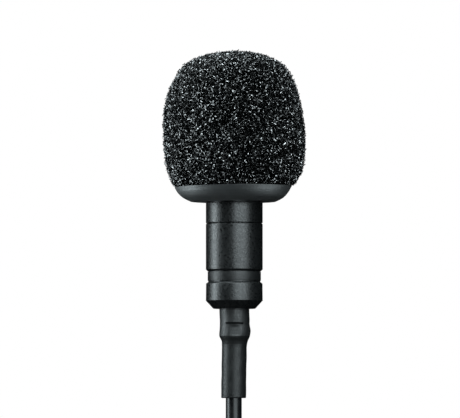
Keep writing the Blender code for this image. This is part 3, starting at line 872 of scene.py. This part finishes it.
def settle(p, rounds=90):
    """Lets the turns push each other apart until no two touch closer than one
    diameter, each keeping its own length and its bends smooth."""
    d0 = 2 * CABLE_R + 0.015
    step = np.linalg.norm(np.diff(p, axis=0), axis=1).mean()
    n = len(p)
    d_along = np.arange(n) * step
    free = np.ones(n)
    free[d_along < 15.5] = 0.0
    free[d_along > d_along[-1] - 8.0] = 0.0
    ramp = np.clip((d_along - 15.5) / 6.0, 0, 1) * np.clip(
        (d_along[-1] - 8.0 - d_along) / 4.0, 0, 1
    )
    free = np.minimum(free, ramp)[:, None]
    pairs = None
    for k in range(rounds):
        if k % 8 == 0:
            tree = kdtree.KDTree(n)
            for i, q in enumerate(p):
                tree.insert(q, i)
            tree.balance()
            found = []
            for i, q in enumerate(p):
                for _, j, _ in tree.find_range(Vector(q), 2.3):
                    if j > i + 4:
                        found.append((i, j))
            pairs = np.array(found, int)
        a, b = pairs[:, 0], pairs[:, 1]
        v = p[b] - p[a]
        dist = np.linalg.norm(v, axis=1)
        close = dist < d0
        a, b, v, dist = a[close], b[close], v[close], dist[close]
        push = v / np.maximum(dist, 1e-6)[:, None] * ((d0 - dist) * 0.5)[:, None]
        move = np.zeros_like(p)
        count = np.zeros(n)
        np.add.at(move, a, -push)
        np.add.at(move, b, push)
        np.add.at(count, a, 1)
        np.add.at(count, b, 1)
        p = p + free * move / np.maximum(1, count * 0.6)[:, None]
        bend = np.zeros_like(p)
        bend[1:-1] = (p[:-2] + p[2:]) / 2 - p[1:-1]
        fair = np.zeros_like(p)
        fair[1:-1] = bend[1:-1] - (bend[:-2] + bend[2:]) / 2
        p = p + free * fair * 0.5
        for _ in range(2):
            v = p[1:] - p[:-1]
            length = np.linalg.norm(v, axis=1)
            fix = v / length[:, None] * ((length - step) * 0.5)[:, None]
            stretch = np.zeros_like(p)
            stretch[:-1] += fix
            stretch[1:] -= fix
            p = p + free * stretch * 0.9
    return p


line = settle(resample(cable_route(), 0.8))
length = float(np.linalg.norm(np.diff(line, axis=0), axis=1).sum())
print("cable length %.1f mm, %d points" % (length, len(line)))

curve = bpy.data.curves.new("cable", "CURVE")
curve.dimensions = "3D"
curve.bevel_depth = CABLE_R * MM
curve.bevel_resolution = 4
curve.use_fill_caps = True
spline = curve.splines.new("POLY")
spline.points.add(len(line) - 1)
for q, co in zip(spline.points, line):
    q.co = (*(co * MM), 1.0)
spline.use_smooth = True
cable = bpy.data.objects.new("cable", curve)
link(cable, "microphone", ["cable_run", "cable_hank", "cable_tail"], CABLE)


def tube_mesh(name, lines, r, sides):
    """One mesh of round wires, each along its own line of points (mm)."""
    verts, faces = [], []
    for pts in lines:
        pts = np.asarray(pts, float)
        t = np.gradient(pts, axis=0)
        t /= np.linalg.norm(t, axis=1)[:, None]
        ref = np.array([0.0, 0.0, 1.0])
        u = np.cross(t, ref)
        u /= np.linalg.norm(u, axis=1)[:, None]
        v = np.cross(t, u)
        first = len(verts)
        for q, uu, vv in zip(pts, u, v):
            for k in range(sides):
                a = 2 * math.pi * k / sides
                verts.append(tuple((q + uu * r * math.cos(a) + vv * r * math.sin(a)) * MM))
        for i in range(len(pts) - 1):
            for k in range(sides):
                j = (k + 1) % sides
                p = first + i * sides
                faces.append((p + k, p + sides + k, p + sides + j, p + j))
        faces.append(tuple(first + k for k in range(sides)))
        last = first + (len(pts) - 1) * sides
        faces.append(tuple(last + k for k in reversed(range(sides))))
    me = bpy.data.meshes.new(name)
    me.from_pydata(verts, [], faces)
    me.update()
    me.shade_smooth()
    me.set_sharp_from_angle(angle=math.radians(50))
    return bpy.data.objects.new(name, me)


# ------------------------------------------------------------------- cable tie
# A hook-and-loop strap wound once round the waist of the hank and lapped over
# itself across the front.
WAIST_Z = HANK_TOP_Z - HANK_LEG / 2
HANK_MID_Y = HANK_BACK_Y - (COLUMNS - 1) * PITCH / 2
tie_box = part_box("cable_tie")
STRAP_T, STRAP_HALF = 0.38, TIE_HALF_H - 0.05
strap_hx = tie_box[1].x / MM - TIE_T
strap_hy = (tie_box[1].y - tie_box[0].y) / (2 * MM) - TIE_T


def strap_loop(n=260):
    """Points and outward normals once round the waist, from the left of the
    front face towards the right."""
    r = 2.2
    pts = []
    for cx, cy, start in (
        (strap_hx - r, -(strap_hy - r), -90),
        (strap_hx - r, strap_hy - r, 0),
        (-(strap_hx - r), strap_hy - r, 90),
        (-(strap_hx - r), -(strap_hy - r), 180),
    ):
        for i in range(25):
            a = math.radians(start + 90 * i / 24)
            pts.append((cx + r * math.cos(a), cy + r * math.sin(a), math.cos(a), math.sin(a)))
    start = [(-3.2, -strap_hy, 0.0, -1.0)]
    pts = np.array(start + pts + start)
    d = np.r_[0, np.cumsum(np.hypot(*np.diff(pts[:, :2], axis=0).T))]
    t = np.linspace(0, d[-1], n)
    out = np.stack([np.interp(t, d, pts[:, k]) for k in range(4)], 1)
    out[:, 2:] /= np.hypot(out[:, 2], out[:, 3])[:, None]
    return out, d[-1]


loop, loop_length = strap_loop()
strap_verts, strap_faces = [], []
n_loop = len(loop) - 1
total = int(n_loop * 1.215)
section = []
for cx, cy, start in ((1, 1, 0), (-1, 1, 90), (-1, -1, 180), (1, -1, 270)):
    for i in range(4):
        a = math.radians(start + 30 * i)
        section.append(
            (
                cx * (STRAP_HALF - 0.15) + 0.15 * math.cos(a),
                cy * (STRAP_T / 2 - 0.15) + 0.15 * math.sin(a),
            )
        )
along_loop = np.linspace(0, loop_length, n_loop + 1)
for i in range(total + 1):
    x, y, nx, ny = loop[i % n_loop]
    turn = i / n_loop
    off = STRAP_T / 2 + 0.03 + (STRAP_T + 0.03) * smooth((turn - 0.925) / 0.075)
    left = (total - i) / n_loop * loop_length
    off += 0.05 * smooth(1 - left / 1.6)
    # corners of both ends are rounded off
    short = min(left, i / n_loop * loop_length)
    half = 1.0 if short >= 0.8 else 1.0 - 0.28 * (1 - math.sqrt(max(0.0, 1 - (1 - short / 0.8) ** 2)))
    ripple = 0.018 * math.sin(0.9 * i) * smooth(turn)
    for w, t in section:
        sag = 0.05 * math.cos(w / STRAP_HALF * math.pi / 2)
        strap_verts.append(
            (
                (x + nx * (off + t + sag)) * MM,
                (HANK_MID_Y + y + ny * (off + t + sag)) * MM,
                (WAIST_Z + w * half + ripple) * MM,
            )
        )
m = len(section)
for i in range(total):
    for k in range(m):
        j = (k + 1) % m
        strap_faces.append((i * m + k, i * m + j, (i + 1) * m + j, (i + 1) * m + k))
strap_faces.append(tuple(reversed(range(m))))
strap_faces.append(tuple(total * m + k for k in range(m)))
strap_mesh = bpy.data.meshes.new("tie_strap")
strap_mesh.from_pydata(strap_verts, [], strap_faces)
bm = bmesh.new()
bm.from_mesh(strap_mesh)
bmesh.ops.recalc_face_normals(bm, faces=bm.faces)
bm.to_mesh(strap_mesh)
bm.free()
strap_mesh.shade_smooth()
strap_mesh.set_sharp_from_angle(angle=math.radians(40))
strap = bpy.data.objects.new("tie_strap", strap_mesh)
link(strap, "microphone", ["cable_tie"], FINISHES["tie_fabric"])

# ------------------------------------------------------------------------ plug
PLUG_BOOT_L, PLUG_BODY_R, PLUG_R, PLUG_CORE_R = 6.00, 2.90, 1.75, 1.20
BODY_TOP = -PLUG_BOOT_L - 0.05
BODY_END = BODY_TOP - 14.00
SHOULDER_Z = BODY_END - 0.85


def on_plug(name, node, outline, slot, closed=True, sides=96):
    o = lathe(
        name, rounded(outline, closed=closed), sides, closed=closed, at=(PLUG_X, PLUG_Y, PLUG_Z)
    )
    return link(o, "microphone", [node], FINISHES[slot])


ribs = []
for k in range(3):
    z = -(1.6 + 1.3 * k)
    r = 1.16 + 0.44 * (-z / PLUG_BOOT_L)
    ribs += [
        (r, z, 0.06),
        (r - 0.22, z - 0.10, 0.06),
        (r - 0.20, z - 0.50, 0.06),
        (r + 0.03, z - 0.60, 0.06),
    ]
on_plug(
    "jack_boot",
    "plug_boot",
    [(1.05, 0.0, 0.04), (1.15, -0.12, 0.06)]
    + ribs
    + [(1.60, -PLUG_BOOT_L, 0.04), (CABLE_BORE_R, -PLUG_BOOT_L), (CABLE_BORE_R, 0.0, 0.03)],
    "rubber_black",
)
grips = []
for k in range(6):
    z = -10.2 - 1.0 * k
    grips += [
        (PLUG_BODY_R, z, 0.05),
        (PLUG_BODY_R - 0.13, z - 0.10, 0.05),
        (PLUG_BODY_R - 0.13, z - 0.32, 0.05),
        (PLUG_BODY_R, z - 0.42, 0.05),
    ]
on_plug(
    "jack_body",
    "plug_body",
    [
        (1.95, BODY_TOP, 0.08),
        (2.45, BODY_TOP - 0.25, 0.20),
        (2.78, BODY_TOP - 0.90, 0.30),
        (PLUG_BODY_R, BODY_TOP - 2.20, 0.60),
    ]
    + grips
    + [
        (PLUG_BODY_R, BODY_END + 0.35, 0.15),
        (PLUG_BODY_R - 0.30, BODY_END, 0.12),
        (1.80, BODY_END),
        (1.80, BODY_END + 4.2),
        (0.88, BODY_END + 4.2),
        (0.88, BODY_TOP, 0.03),
    ],
    "plug_moulding",
)
on_plug(
    "jack_sleeve",
    "plug_sleeve",
    [
        (PLUG_R, BODY_END + 3.9),
        (PLUG_R, BODY_END - 0.05),
        (2.45, BODY_END - 0.05, 0.06),
        (2.45, SHOULDER_Z, 0.08),
        (PLUG_R, SHOULDER_Z, 0.03),
        (PLUG_R, SHOULDER_Z - 4.9, 0.02),
        (PLUG_CORE_R + 0.04, SHOULDER_Z - 4.9),
        (PLUG_CORE_R + 0.04, BODY_END + 3.9),
    ],
    "plug_nickel",
)
for name, node, start, end, inset, slot in (
    ("jack_band_sleeve", "plug_insulator_sleeve", 4.93, 5.50, 0.03, "plug_band"),
    ("jack_ring_2", "plug_ring_2", 5.53, 7.60, 0.0, "plug_nickel"),
    ("jack_band_middle", "plug_insulator_middle", 7.63, 8.20, 0.03, "plug_band"),
    ("jack_ring_1", "plug_ring_1", 8.23, 10.20, 0.0, "plug_nickel"),
    ("jack_band_tip", "plug_insulator_tip", 10.23, 10.80, 0.03, "plug_band"),
):
    on_plug(
        name,
        node,
        [
            (PLUG_R - inset, SHOULDER_Z - start, 0.02),
            (PLUG_R - inset, SHOULDER_Z - end, 0.02),
            (PLUG_CORE_R + 0.04, SHOULDER_Z - end),
            (PLUG_CORE_R + 0.04, SHOULDER_Z - start),
        ],
        slot,
    )
on_plug(
    "jack_tip",
    "plug_tip",
    [
        (0.0, BODY_END + 4.1),
        (0.45, BODY_END + 4.1),
        (0.45, SHOULDER_Z - 10.84),
        (PLUG_R, SHOULDER_Z - 10.84, 0.03),
        (PLUG_R, SHOULDER_Z - 11.20, 0.10),
        (1.28, SHOULDER_Z - 12.05, 0.16),
        (1.55, SHOULDER_Z - 12.55, 0.12),
        (1.70, SHOULDER_Z - 12.85, 0.14),
        (1.45, SHOULDER_Z - 13.45, 0.25),
        (0.70, SHOULDER_Z - 13.95, 0.22),
        (0.0, SHOULDER_Z - 14.00),
    ],
    "plug_nickel",
    closed=False,
)

# ---------------------------------------------------------------- sound inlet
# Woven steel gauze, over and under at every crossing.
mesh_lo, mesh_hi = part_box("grille_mesh")
gauze_z, gauze_r = (mesh_lo.z + mesh_hi.z) / (2 * MM), mesh_hi.x / MM - 0.03
GAUZE, WIRE = 0.19, 0.030
wires = []
reach = int(gauze_r / GAUZE)
for side in (0, 1):
    for i in range(-reach, reach + 1):
        at = i * GAUZE
        half = math.sqrt(max(0.0, gauze_r**2 - at * at))
        if half < 2 * GAUZE:
            continue
        run = np.arange(-half, half + 1e-6, GAUZE / 5)
        sign = 1 if (i + side) % 2 else -1
        lift = sign * WIRE * np.cos(math.pi * run / GAUZE)
        line_ = np.zeros((len(run), 3))
        line_[:, side] = run
        line_[:, 1 - side] = at
        line_[:, 2] = gauze_z + lift
        wires.append(line_)
gauze = tube_mesh("grille_gauze", wires, WIRE, 6)
link(gauze, "microphone", ["grille_mesh"], FINISHES["steel"])


# ------------------------------------------------------------------------ foam
DOME = [  # (radius, height) where the foam's outline is settled, mm
    (0.0, 22.48),
    (1.00, 22.42),
    (2.10, 22.26),
    (3.15, 22.02),
    (4.25, 21.54),
    (4.98, 21.04),
    (5.50, 20.44),
    (5.86, 19.74),
    (6.36, 18.64),
    (6.68, 17.42),
    (6.90, 16.10),
    (7.00, 14.80),
    (7.00, 13.20),
    (6.93, 12.00),
    (6.74, 10.80),
    (6.38, 9.90),
    (5.90, FOAM_RIM_Z),
]
# The soft foam isn't quite straight: how far it leans to +X at each height, mm
LEAN = np.array(
    [
        (8.0, -0.10),
        (9.3, -0.07),
        (10.6, 0.06),
        (12.6, 0.03),
        (14.6, -0.02),
        (15.6, -0.08),
        (16.6, -0.14),
        (18.6, -0.12),
        (19.6, -0.06),
        (21.0, -0.06),
        (22.6, 0.02),
    ]
)


def dome_outline(n=12):
    """(radius, height) of the foam's outer surface in mm, top to rim: a smooth
    curve through the points above."""
    p = np.array([(-DOME[1][0], DOME[1][1])] + DOME + [(5.20, 8.25)])
    out = []
    for i in range(1, len(p) - 2):
        a, b, c, d = p[i - 1 : i + 3]
        for k in range(n):
            t = k / n
            out.append(
                0.5
                * (
                    2 * b
                    + (c - a) * t
                    + (2 * a - 5 * b + 4 * c - d) * t * t
                    + (3 * b - a - 3 * c + d) * t**3
                )
            )
    out.append(p[-2])
    out[0] = np.array([0.0, DOME[0][1]])
    return out


outline = np.array(dome_outline())
# carried on straight below the rim, so that depths are right near it
tail = outline[-1] + (outline[-1] - outline[-2]) * np.linspace(1, 12, 12)[:, None]
outline = np.vstack([outline, tail])

GRID = 0.05
gr = np.arange(0, 9.01, GRID)
gz = np.arange(7.0, 24.51, GRID)
RR, ZZ = np.meshgrid(gr, gz, indexing="ij")
flat = np.stack([RR.ravel(), ZZ.ravel()], 1)
best = np.full(len(flat), 1e9)
side = np.zeros(len(flat))
for a, b in zip(outline[:-1], outline[1:]):
    d = b - a
    l2 = d @ d
    if l2 < 1e-12:
        continue
    t = np.clip(((flat - a) @ d) / l2, 0, 1)
    q = a + t[:, None] * d
    dist = np.hypot(*(flat - q).T)
    cross = d[0] * (flat[:, 1] - a[1]) - d[1] * (flat[:, 0] - a[0])
    nearer = dist < best
    best[nearer] = dist[nearer]
    side[nearer] = np.sign(cross[nearer])
DEPTH = (best * np.where(side > 0, -1, 1)).reshape(RR.shape)


def depth(p):
    """How far below the foam's surface a point is, in mm; negative outside."""
    r = np.hypot(p[:, 0], p[:, 1]) / GRID
    z = (p[:, 2] - 7.0) / GRID
    i = np.clip(r.astype(int), 0, DEPTH.shape[0] - 2)
    j = np.clip(z.astype(int), 0, DEPTH.shape[1] - 2)
    u, v = np.clip(r - i, 0, 1), np.clip(z - j, 0, 1)
    return (
        DEPTH[i, j] * (1 - u) * (1 - v)
        + DEPTH[i + 1, j] * u * (1 - v)
        + DEPTH[i, j + 1] * (1 - u) * v
        + DEPTH[i + 1, j + 1] * u * v
    )


CELL = 0.40
rng = np.random.default_rng(5)
half_cells = int(11.0 / CELL)
ix = np.arange(-half_cells - 3, half_cells + 4)
iz = np.arange(-int(9.5 / CELL), int(9.5 / CELL) + 1) + int(15.0 / CELL)
gx, gy, gzz = np.meshgrid(ix, ix, iz, indexing="ij")
lattice = np.stack([gx.ravel(), gy.ravel(), gzz.ravel()], 1).astype(float)
seeds = np.vstack([lattice, lattice + 0.5]) * CELL
# turned, so that no lattice plane lies along an axis
ax, ay = 0.42, 0.31
c, s = math.cos(ax), math.sin(ax)
centre = np.array([0, 0, 15.0])
seeds = (seeds - centre) @ np.array([[1, 0, 0], [0, c, -s], [0, s, c]])
c, s = math.cos(ay), math.sin(ay)
seeds = seeds @ np.array([[c, 0, s], [0, 1, 0], [-s, 0, c]]) + centre
seeds = seeds + rng.uniform(-0.115, 0.115, seeds.shape)
dep = depth(seeds)
keep = (dep > -0.42) & (dep < 0.75) & (seeds[:, 2] > 8.3)
seeds = seeds[keep]
print("foam cells", len(seeds))

NEAR = 22
tree = kdtree.KDTree(len(seeds))
for i, q in enumerate(seeds):
    tree.insert(q, i)
tree.balance()
near = np.array([[j for _, j, _ in tree.find_n(Vector(q), NEAR + 1)] for q in seeds])
near = near[:, 1:]

# The cell walls' corners are the centres of the spheres through four seeds
# that hold no other seed.
tets, centres = [], []
combos = np.array(
    [(a, b, c) for a in range(NEAR) for b in range(a + 1, NEAR) for c in range(b + 1, NEAR)]
)
R_MAX = 0.80 * CELL
for start in range(0, len(seeds), 400):
    idx = np.arange(start, min(start + 400, len(seeds)))
    nb = near[idx]
    later = nb > idx[:, None]
    o = seeds[idx]
    rel = seeds[nb] - o[:, None, :]
    ok = (
        later[:, combos[:, 0]] & later[:, combos[:, 1]] & later[:, combos[:, 2]]
    )
    row, com = np.nonzero(ok)
    a = rel[row, combos[com, 0]]
    b = rel[row, combos[com, 1]]
    d = rel[row, combos[com, 2]]
    ab = np.cross(b, d)
    bd = np.cross(d, a)
    da = np.cross(a, b)
    det = np.einsum("ij,ij->i", a, ab) * 2
    good = np.abs(det) > 1e-5
    row, com, a, b, d, ab, bd, da, det = (
        v[good] for v in (row, com, a, b, d, ab, bd, da, det)
    )
    cc = (
        (a * a).sum(1)[:, None] * ab
        + (b * b).sum(1)[:, None] * bd
        + (d * d).sum(1)[:, None] * da
    ) / det[:, None]
    r2 = (cc * cc).sum(1)
    good = r2 < R_MAX**2
    row, com, cc, r2 = row[good], com[good], cc[good], r2[good]
    empty = np.ones(len(row), bool)
    for k in range(NEAR):
        v = rel[row, k] - cc
        inside = (v * v).sum(1) < r2 * (1 - 1e-7) - 1e-9
        inside &= (
            (combos[com, 0] != k) & (combos[com, 1] != k) & (combos[com, 2] != k)
        )
        empty &= ~inside
    row, com, cc = row[empty], com[empty], cc[empty]
    tets.append(
        np.stack([idx[row], nb[row, combos[com, 0]], nb[row, combos[com, 1]], nb[row, combos[com, 2]]], 1)
    )
    centres.append(cc + o[row])
tets = np.sort(np.vstack(tets), axis=1)
centres = np.vstack(centres)
n_seed = len(seeds)
key = ((tets[:, 0] * n_seed + tets[:, 1]) * n_seed + tets[:, 2]) * n_seed + tets[:, 3]
_, first = np.unique(key, return_index=True)
tets, centres = tets[first], centres[first]
faces = np.vstack([tets[:, [0, 1, 2]], tets[:, [0, 1, 3]], tets[:, [0, 2, 3]], tets[:, [1, 2, 3]]])
owner = np.tile(np.arange(len(tets)), 4)
fkey = (faces[:, 0].astype(np.int64) * n_seed + faces[:, 1]) * n_seed + faces[:, 2]
order = np.argsort(fkey, kind="stable")
fkey, owner = fkey[order], owner[order]
twin = np.nonzero(fkey[1:] == fkey[:-1])[0]
edges = np.stack([owner[twin], owner[twin + 1]], 1)
print("foam corners", len(centres), "struts", len(edges))

LAYER = 0.27  # depth to which single strands are built
p0, p1 = centres[edges[:, 0]], centres[edges[:, 1]]
d0, d1 = depth(p0), depth(p1)
swap = d0 < d1
p0[swap], p1[swap] = p1[swap], p0[swap].copy()
d0, d1 = np.where(swap, d1, d0), np.where(swap, d0, d1)
# The skin is uneven: some cells stand proud and single strands stick out
lumps = sum(
    np.sin(p0 @ (np.array(k) * 2 * math.pi / w) + h)
    for k, w, h in (
        ((0.8, 0.3, 0.5), 0.80, 0.3),
        ((-0.4, 0.8, 0.4), 0.66, 1.9),
        ((0.3, -0.5, 0.8), 0.56, 4.0),
        ((0.6, 0.7, -0.4), 0.48, 2.7),
    )
)
stick = 0.02 + 0.045 * lumps + rng.uniform(-0.08, 0.11, len(p0))
keep = (d0 > -stick) & (d1 < LAYER) & (np.linalg.norm(p1 - p0, axis=1) > 0.02)
keep &= np.minimum(p0[:, 2], p1[:, 2]) > FOAM_RIM_Z - 0.04 + 0.014 * p0[:, 0]
p0, p1, d0, d1, stick = p0[keep], p1[keep], d0[keep], d1[keep], stick[keep]
out_of = d1 < -stick
t = np.where(out_of, (d0 + stick) / np.maximum(d0 - d1, 1e-6), 1.0)
p1 = p0 + (p1 - p0) * np.clip(t, 0.05, 1)[:, None]
for p in (p0, p1):
    p[:, 0] += np.interp(p[:, 2], LEAN[:, 0], LEAN[:, 1])
print("foam strands kept", len(p0))


def strands(name, p0, p1, cut, sides, mids, rng):
    """A mesh of short bowed tubes, thicker where they meet."""
    n = len(p0)
    d = p1 - p0
    length = np.linalg.norm(d, axis=1)
    d = d / np.maximum(length, 1e-9)[:, None]
    ref = rng.normal(size=(n, 3))
    u = np.cross(d, ref)
    u /= np.maximum(np.linalg.norm(u, axis=1), 1e-9)[:, None]
    v = np.cross(d, u)
    ts = [0.0] + [0.5] * mids + [1.0]
    thick = rng.uniform(0.85, 1.2, n)
    bow = rng.uniform(-0.10, 0.10, n) * length
    rows = []
    for k, t in enumerate(ts):
        if k == 0:
            r = 0.049
        elif k == len(ts) - 1:
            r = np.where(cut, 0.040, 0.049)
        else:
            r = 0.035
        r = (r * thick)[:, None]
        mid = p0 + d * (length * t)[:, None]
        if 0 < k < len(ts) - 1:
            mid = mid + u * bow[:, None]
        ring = []
        for s in range(sides):
            a = 2 * math.pi * s / sides
            ring.append(mid + u * r * math.cos(a) + v * r * math.sin(a))
        rows.append(np.stack(ring, 1))
    verts = np.stack(rows, 1).reshape(-1, 3)  # n x rows x sides
    per = len(ts) * sides
    base = np.arange(n)[:, None] * per
    quads = []
    for k in range(len(ts) - 1):
        for s in range(sides):
            s2 = (s + 1) % sides
            quads.append(
                np.hstack(
                    [
                        base + k * sides + s,
                        base + k * sides + s2,
                        base + (k + 1) * sides + s2,
                        base + (k + 1) * sides + s,
                    ]
                )
            )
    quads = np.stack(quads, 1).reshape(-1, 4)
    low = np.hstack([base + s for s in range(sides)][::-1])
    top = np.hstack([base + (len(ts) - 1) * sides + s for s in range(sides)])
    caps = np.vstack([low, top])
    me = bpy.data.meshes.new(name)
    me.vertices.add(len(verts))
    me.vertices.foreach_set("co", (verts * MM).astype(np.float32).ravel())
    loops = np.concatenate([quads.ravel(), caps.ravel()]).astype(np.int32)
    me.loops.add(len(loops))
    me.loops.foreach_set("vertex_index", loops)
    starts = np.concatenate(
        [
            np.arange(len(quads)) * 4,
            len(quads) * 4 + np.arange(len(caps)) * sides,
        ]
    ).astype(np.int32)
    me.polygons.add(len(starts))
    me.polygons.foreach_set("loop_start", starts)
    me.update(calc_edges=True)
    me.shade_flat()
    # Each strand has a cell of the map to itself, so that a bake keeps its colour
    grid = math.ceil(math.sqrt(n))
    corner = np.stack([np.arange(n) % grid, np.arange(n) // grid], 1)[:, None, None, :]
    segs = len(ts) - 1
    wall = np.array(
        [
            [(s / sides, k / segs), ((s + 1) / sides, k / segs)]
            + [((s + 1) / sides, (k + 1) / segs), (s / sides, (k + 1) / segs)]
            for k in range(segs)
            for s in range(sides)
        ]
    )
    turn = np.arange(sides) * 2 * math.pi / sides
    end = 0.5 + 0.4 * np.stack([np.cos(turn), np.sin(turn)], 1)[None]
    uv = [
        ((corner + 0.12 + 0.76 * part[None]) / grid).reshape(-1, 2)
        for part in (wall, end, end)
    ]
    layer = me.uv_layers.new(name="OFBake")
    layer.data.foreach_set("uv", np.concatenate(uv).astype(np.float32).ravel())
    return bpy.data.objects.new(name, me)


def foam_finish(name, base, rough, ior):
    """The skin of a strand: its colour and gloss change from cell to cell and
    along its length. Its facets are real, so it needs no bump."""
    return finish_of(
        name,
        base,
        rough,
        ior=ior,
        cloud=(900, 0.35),
        speck=(9000, 0.35),
        rough_by=0.07,
        rough_scale=3000,
        bump=None,
    )


# Three finishes of the same black strand, with b the darkest and least glossy. Shallow strands take them
# at random, and deeper strands mostly take b as painted shade.
FOAM = [
    foam_finish("foam_strand_a", (0.0012, 0.0015, 0.0015), 0.24, 1.90),
    foam_finish("foam_strand_b", (0.0005, 0.0006, 0.0006), 0.30, 1.35),
    foam_finish("foam_strand_c", (0.0018, 0.0022, 0.0022), 0.20, 2.30),
]

# Under the strands lies a dark, dull shell 0.36 mm below the skin. It is painted shade that stands in for
# the shadowed depths of the foam, where no strands are built.
shade_core_profile = []
for (r, z), nxt in zip(outline[:-12:4], list(outline[4:-12:4]) + [outline[-13]]):
    t = np.array(nxt) - np.array([r, z])
    t = t / max(1e-9, np.hypot(*t))
    normal = np.array([-t[1], t[0]])  # outwards of the downward outline
    if normal[0] < 0 and r > 0.5:
        normal = -normal
    q = np.array([r, z]) - normal * 0.36
    shade_core_profile.append((max(0.0, float(q[0])) if r > 0.3 else 0.0, float(q[1])))
shade_core_profile = [shade_core_profile[0]] + [
    q for q in shade_core_profile[1:] if q[0] > 0.3 and q[1] > FOAM_RIM_Z + 0.1
]
shade_core_profile += [
    (5.20, FOAM_RIM_Z),
    (5.05, 8.72),
    (4.50, 8.30),
    (COLLAR_R + 0.08, 8.30),
    (COLLAR_R + 0.08, COLLAR_TOP_Z + 0.08),
    (BASE_BORE_R, COLLAR_TOP_Z + 0.08),
    (BASE_BORE_R, HEAD_TOP_Z + 0.20),
    (0.0, HEAD_TOP_Z + 0.20),
]
# Near-black with almost no gloss, so the shell reads as the shade between the strands: painted shade.
SHADE_CORE = finish_of(
    "foam_core",
    (0.0008, 0.0010, 0.0010),
    0.95,
    cloud=(1500, 0.4),
    speck=(5000, 0.4),
    bump=(2600, 0.25, 1.0),
    specular=0.03,
)
shade_core = lathe(
    "foam_core",
    shade_core_profile,
    96,
    closed=False,
    shape=lambda x, y, z: (x + float(np.interp(z, LEAN[:, 0], LEAN[:, 1])), y, z),
)
link(shade_core, "windscreen", ["windscreen_foam"], SHADE_CORE)

shallow = np.minimum(d0, d1) < 0.12
sector = ((np.arctan2(p0[:, 1], p0[:, 0]) + math.pi) / (2 * math.pi) * 6).astype(int) % 6
cut = np.zeros(len(p0), bool)
cut[:] = out_of
for k in range(6):
    for level, (chosen, mids) in enumerate((((sector == k) & shallow, 1), ((sector == k) & ~shallow, 0))):
        if not chosen.any():
            continue
        o = strands(
            "foam_strands_%d%s" % (k + 1, "ab"[level]),
            p0[chosen],
            p1[chosen],
            cut[chosen],
            3,
            mids,
            rng,
        )
        for m in FOAM:
            o.data.materials.append(m)
        # Near the skin the mix of finishes is random. Deeper strands mostly take the dark finish b, as
        # painted shade for the shadow deeper in the foam.
        tone_and_shade_share = (0.4, 0.25, 0.35) if mids else (0.15, 0.80, 0.05)
        pick = rng.choice(3, chosen.sum(), p=tone_and_shade_share)
        sides, seg = 3, mids + 1
        idx = np.concatenate([np.repeat(pick, sides * seg), pick, pick]).astype(np.int32)
        o.data.polygons.foreach_set("material_index", idx)
        link(o, "windscreen")
        print(o.name, len(o.data.polygons))

# ---------------------------------------------------------- carried-over pieces
for name, o in CAD.items():
    slot = o.data.materials[0].name.split(".")[0] if o.data.materials else None
    if slot in FINISHES:
        o.data.materials[0] = FINISHES[slot]
    elif not o.hide_render:
        print("no finish for", name, slot)

# ------------------------------------------------------------ flags on the lights
plug_names = ("jack_sleeve", "jack_ring_2", "jack_ring_1", "jack_tip")
plug_metal = [bpy.data.objects[name] for name in plug_names]
for light in low_lights:
    flag(light, [head, barrel, rear, relief] + plug_metal, False)
flag(edge_light, [head, barrel, rear, relief], True)
foam = [shade_core] + [o for o in scene.objects if o.name.startswith("foam_strands")]
for light in wide_lights:
    flag(light, foam + plug_metal, False)
for light in foam_lights:
    flag(light, foam, True)
for light in plug_lights:
    flag(light, plug_metal, True)
